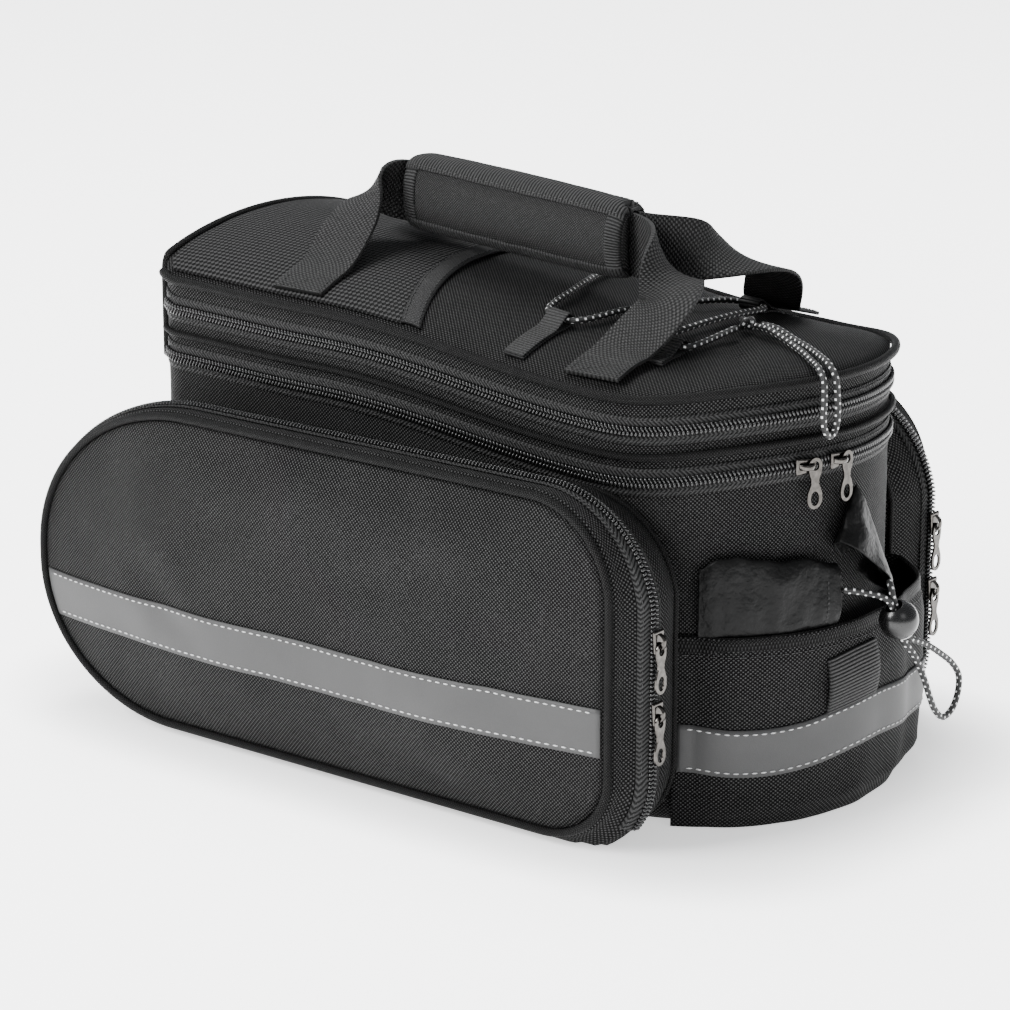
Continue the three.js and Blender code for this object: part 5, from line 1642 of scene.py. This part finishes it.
def pull_shape():
    """A flat figure of eight: an outline with an eye at one end and a wide loop at the other."""
    waist = [(3.4, 3.1), (6.2, 2.0), (8.5, 1.9), (10.8, 2.9), (13, 3.7)]
    edge = arc(0, 3.75, 3.5, QUARTER, 3 * QUARTER, 20) + [(x, -y) for x, y in waist]
    edge += arc(15.75, 4.5, 3.9, -QUARTER, QUARTER, 20) + waist[::-1]
    eye = arc(0, 2.3, 2.2, 0, 2 * math.pi, 21)[:-1]
    loop = arc(15.4, 3.5, 2.4, 0, 2 * math.pi, 25)[:-1]
    curve = bpy.data.curves.new("pull", "CURVE")
    curve.dimensions = "2D"
    curve.fill_mode = "BOTH"
    curve.extrude = 0.33 * MM
    curve.bevel_depth = 0.2 * MM
    curve.bevel_resolution = 2
    for ring in (edge, eye, loop):
        ring_of(curve.splines.new("POLY"), ring)
    carrier = bpy.data.objects.new("pull", curve)
    bpy.context.scene.collection.objects.link(carrier)
    mesh = bpy.data.meshes.new_from_object(
        carrier.evaluated_get(bpy.context.evaluated_depsgraph_get()))
    bpy.data.objects.remove(carrier)
    bm = bmesh.new()
    bm.from_mesh(mesh)
    bmesh.ops.remove_doubles(bm, verts=bm.verts, dist=FINE_WELD)
    bpy.data.meshes.remove(mesh)
    return bm


def hang_slider(word, node, place, along, out):
    slider = copies(f"{word}_slider_body", slider_body(), [stand(place, along, out)], METAL)
    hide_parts(f"{node}_slider")
    along, out = Vector(along).normalized(), Vector(out).normalized()
    leg = Vector(place) + along * PULL_EYE + out * (SLIDER_SIZE.z + PULL_RISE)
    pull = copies(f"{word}_pull_plate", pull_shape(), [stand(leg, (0, 0, -1), out)], METAL)
    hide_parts(f"{node}_pull")
    for piece in (slider, pull):
        edges = piece.modifiers.new("crisp", "WEIGHTED_NORMAL")
        edges.keep_sharp = True


print("slider shapes ready")

# %% Sliders in place
SLIDER_RISE = 2.5
for word, side in (("left", -1), ("right", 1)):
    grow = gusset_grow(2, ZIP_DEPTH) + SLIDER_RISE
    for number, share in ((1, 0.62), (2, 0.4)):
        height = mix(PANNIER_LOW, PANNIER_HIGH, share)
        spot = (PANNIER_REAR + grow, side * (BACK + ZIP_DEPTH), height)
        hang_slider(f"{word}_side_{number}", f"{word}_pannier_{number}", spot, (0, 0, -1),
                    (1, 0, 0))
for number, facet, share in ((1, 4, 0.44), (2, 5, 0.25)):
    start, end = (on_wall(3 + step / 12, LOWER_ZIP, SLIDER_RISE) for step in (facet, facet + 1))
    along = end - start
    hang_slider(f"lid_{number}", f"main_{number}", start + along * share, (along[0], along[1], 0),
                (along[1], -along[0], 0))

# %% [markdown]
# ## Strap stitching
# Each strap end is sewn down with a box of stitches and a diagonal. The box is wider than long.

# %% Box stitches
BOX_HALF, BOX_NEAR, BOX_FAR, BOX_LIFT = 12.5, 5, 19, 4.15
CORNERS_SEWN = [(-BOX_HALF, BOX_NEAR), (BOX_HALF, BOX_NEAR), (BOX_HALF, BOX_FAR),
                (-BOX_HALF, BOX_FAR), (-BOX_HALF, BOX_NEAR), (BOX_HALF, BOX_FAR)]
for word, side in (("left", -1), ("right", 1)):
    for end, x in (("front", -STRAP_FOOT), ("rear", STRAP_FOOT)):
        spots = [(mix(ax, bx, t), HALF_WIDTH - mix(ay, by, t))
                 for (ax, ay), (bx, by) in zip(CORNERS_SEWN, CORNERS_SEWN[1:])
                 for t in np.linspace(0, 1, 8)[:-1]]
        spots.append((BOX_HALF, HALF_WIDTH - BOX_FAR))
        box = [(x + dx, side * y, lid_height(x, y) + BOX_LIFT) for dx, y in spots]
        seam_stitches(f"strap_stitches_{word}_{end}", box, [UP] * len(box), *BOX_STITCH)

# %% [markdown]
# ## Floor and light
# The photograph is a studio shot on white. A wide pale floor fills the view. It glows like a
# light table, and a painted shadow dims the glow in a soft oval under the bag. Three soft lights
# model the black cloth: a large one high on the camera's left, a weak fill on the right, and one
# high behind the bag for the lid.

# %% Floor
FLOOR_HALF, BAG_MIDDLE, SHADE_HALF = 7, -0.015, (0.225, 0.15)
SHADE_START, SHADE_END, GLOW = 0.3, 2.2, 3.4


def glowing_floor():
    """A pale floor that glows, with a painted shadow: a soft-edged oval under the bag glows less.
    """
    f = Finish("pale_floor", "main_cloth")
    f.set(Base_Color=f.colour(f.noise(900, 1.0), grey(0.9), grey(0.94)))
    x, y = f.axes(2)
    # Painted shadow: the glow falls to a quarter inside a soft oval under the bag.
    along, across = (x - BAG_MIDDLE) / SHADE_HALF[0], y / SHADE_HALF[1]
    far = along * along * along * along + across * across * across * across
    glow_with_painted_shadow = f.colour(far.between(SHADE_START, SHADE_END), grey(0.25), grey(1.0))
    return f.set(Roughness=0.85, Specular_IOR_Level=0.1, Emission_Color=glow_with_painted_shadow,
                 Emission_Strength=GLOW)


floor_mesh = bmesh.new()
bmesh.ops.create_grid(floor_mesh, x_segments=2, y_segments=2, size=FLOOR_HALF)
keep_mesh("floor", floor_mesh, glowing_floor())


# %% Lights
AIM = Vector((0, 0, 0.1))
WORLD_COLOUR, WORLD_STRENGTH = (0.93, 0.96, 1, 1), 0.5


def soft_light(name, place, power, size):
    lamp = bpy.data.lights.new(name, "AREA")
    lamp.energy, lamp.size = power, size
    holder = bpy.data.objects.new(name, lamp)
    bpy.context.scene.collection.objects.link(holder)
    holder.location = place
    holder.rotation_mode = "QUATERNION"
    holder.rotation_quaternion = (AIM - Vector(place)).to_track_quat("-Z", "Y")


soft_light("key", (-1.1, -1.8, 1.55), 112, 1.2)
soft_light("fill", (1.9, -0.9, 1.5), 7, 1.0)
soft_light("rim", (-0.7, 0.7, 2.2), 52, 1.1)
world = bpy.data.worlds.new("studio")
world.use_nodes = True
sky = world.node_tree.nodes["Background"].inputs
sky["Color"].default_value = WORLD_COLOUR
sky["Strength"].default_value = WORLD_STRENGTH
bpy.context.scene.world = world
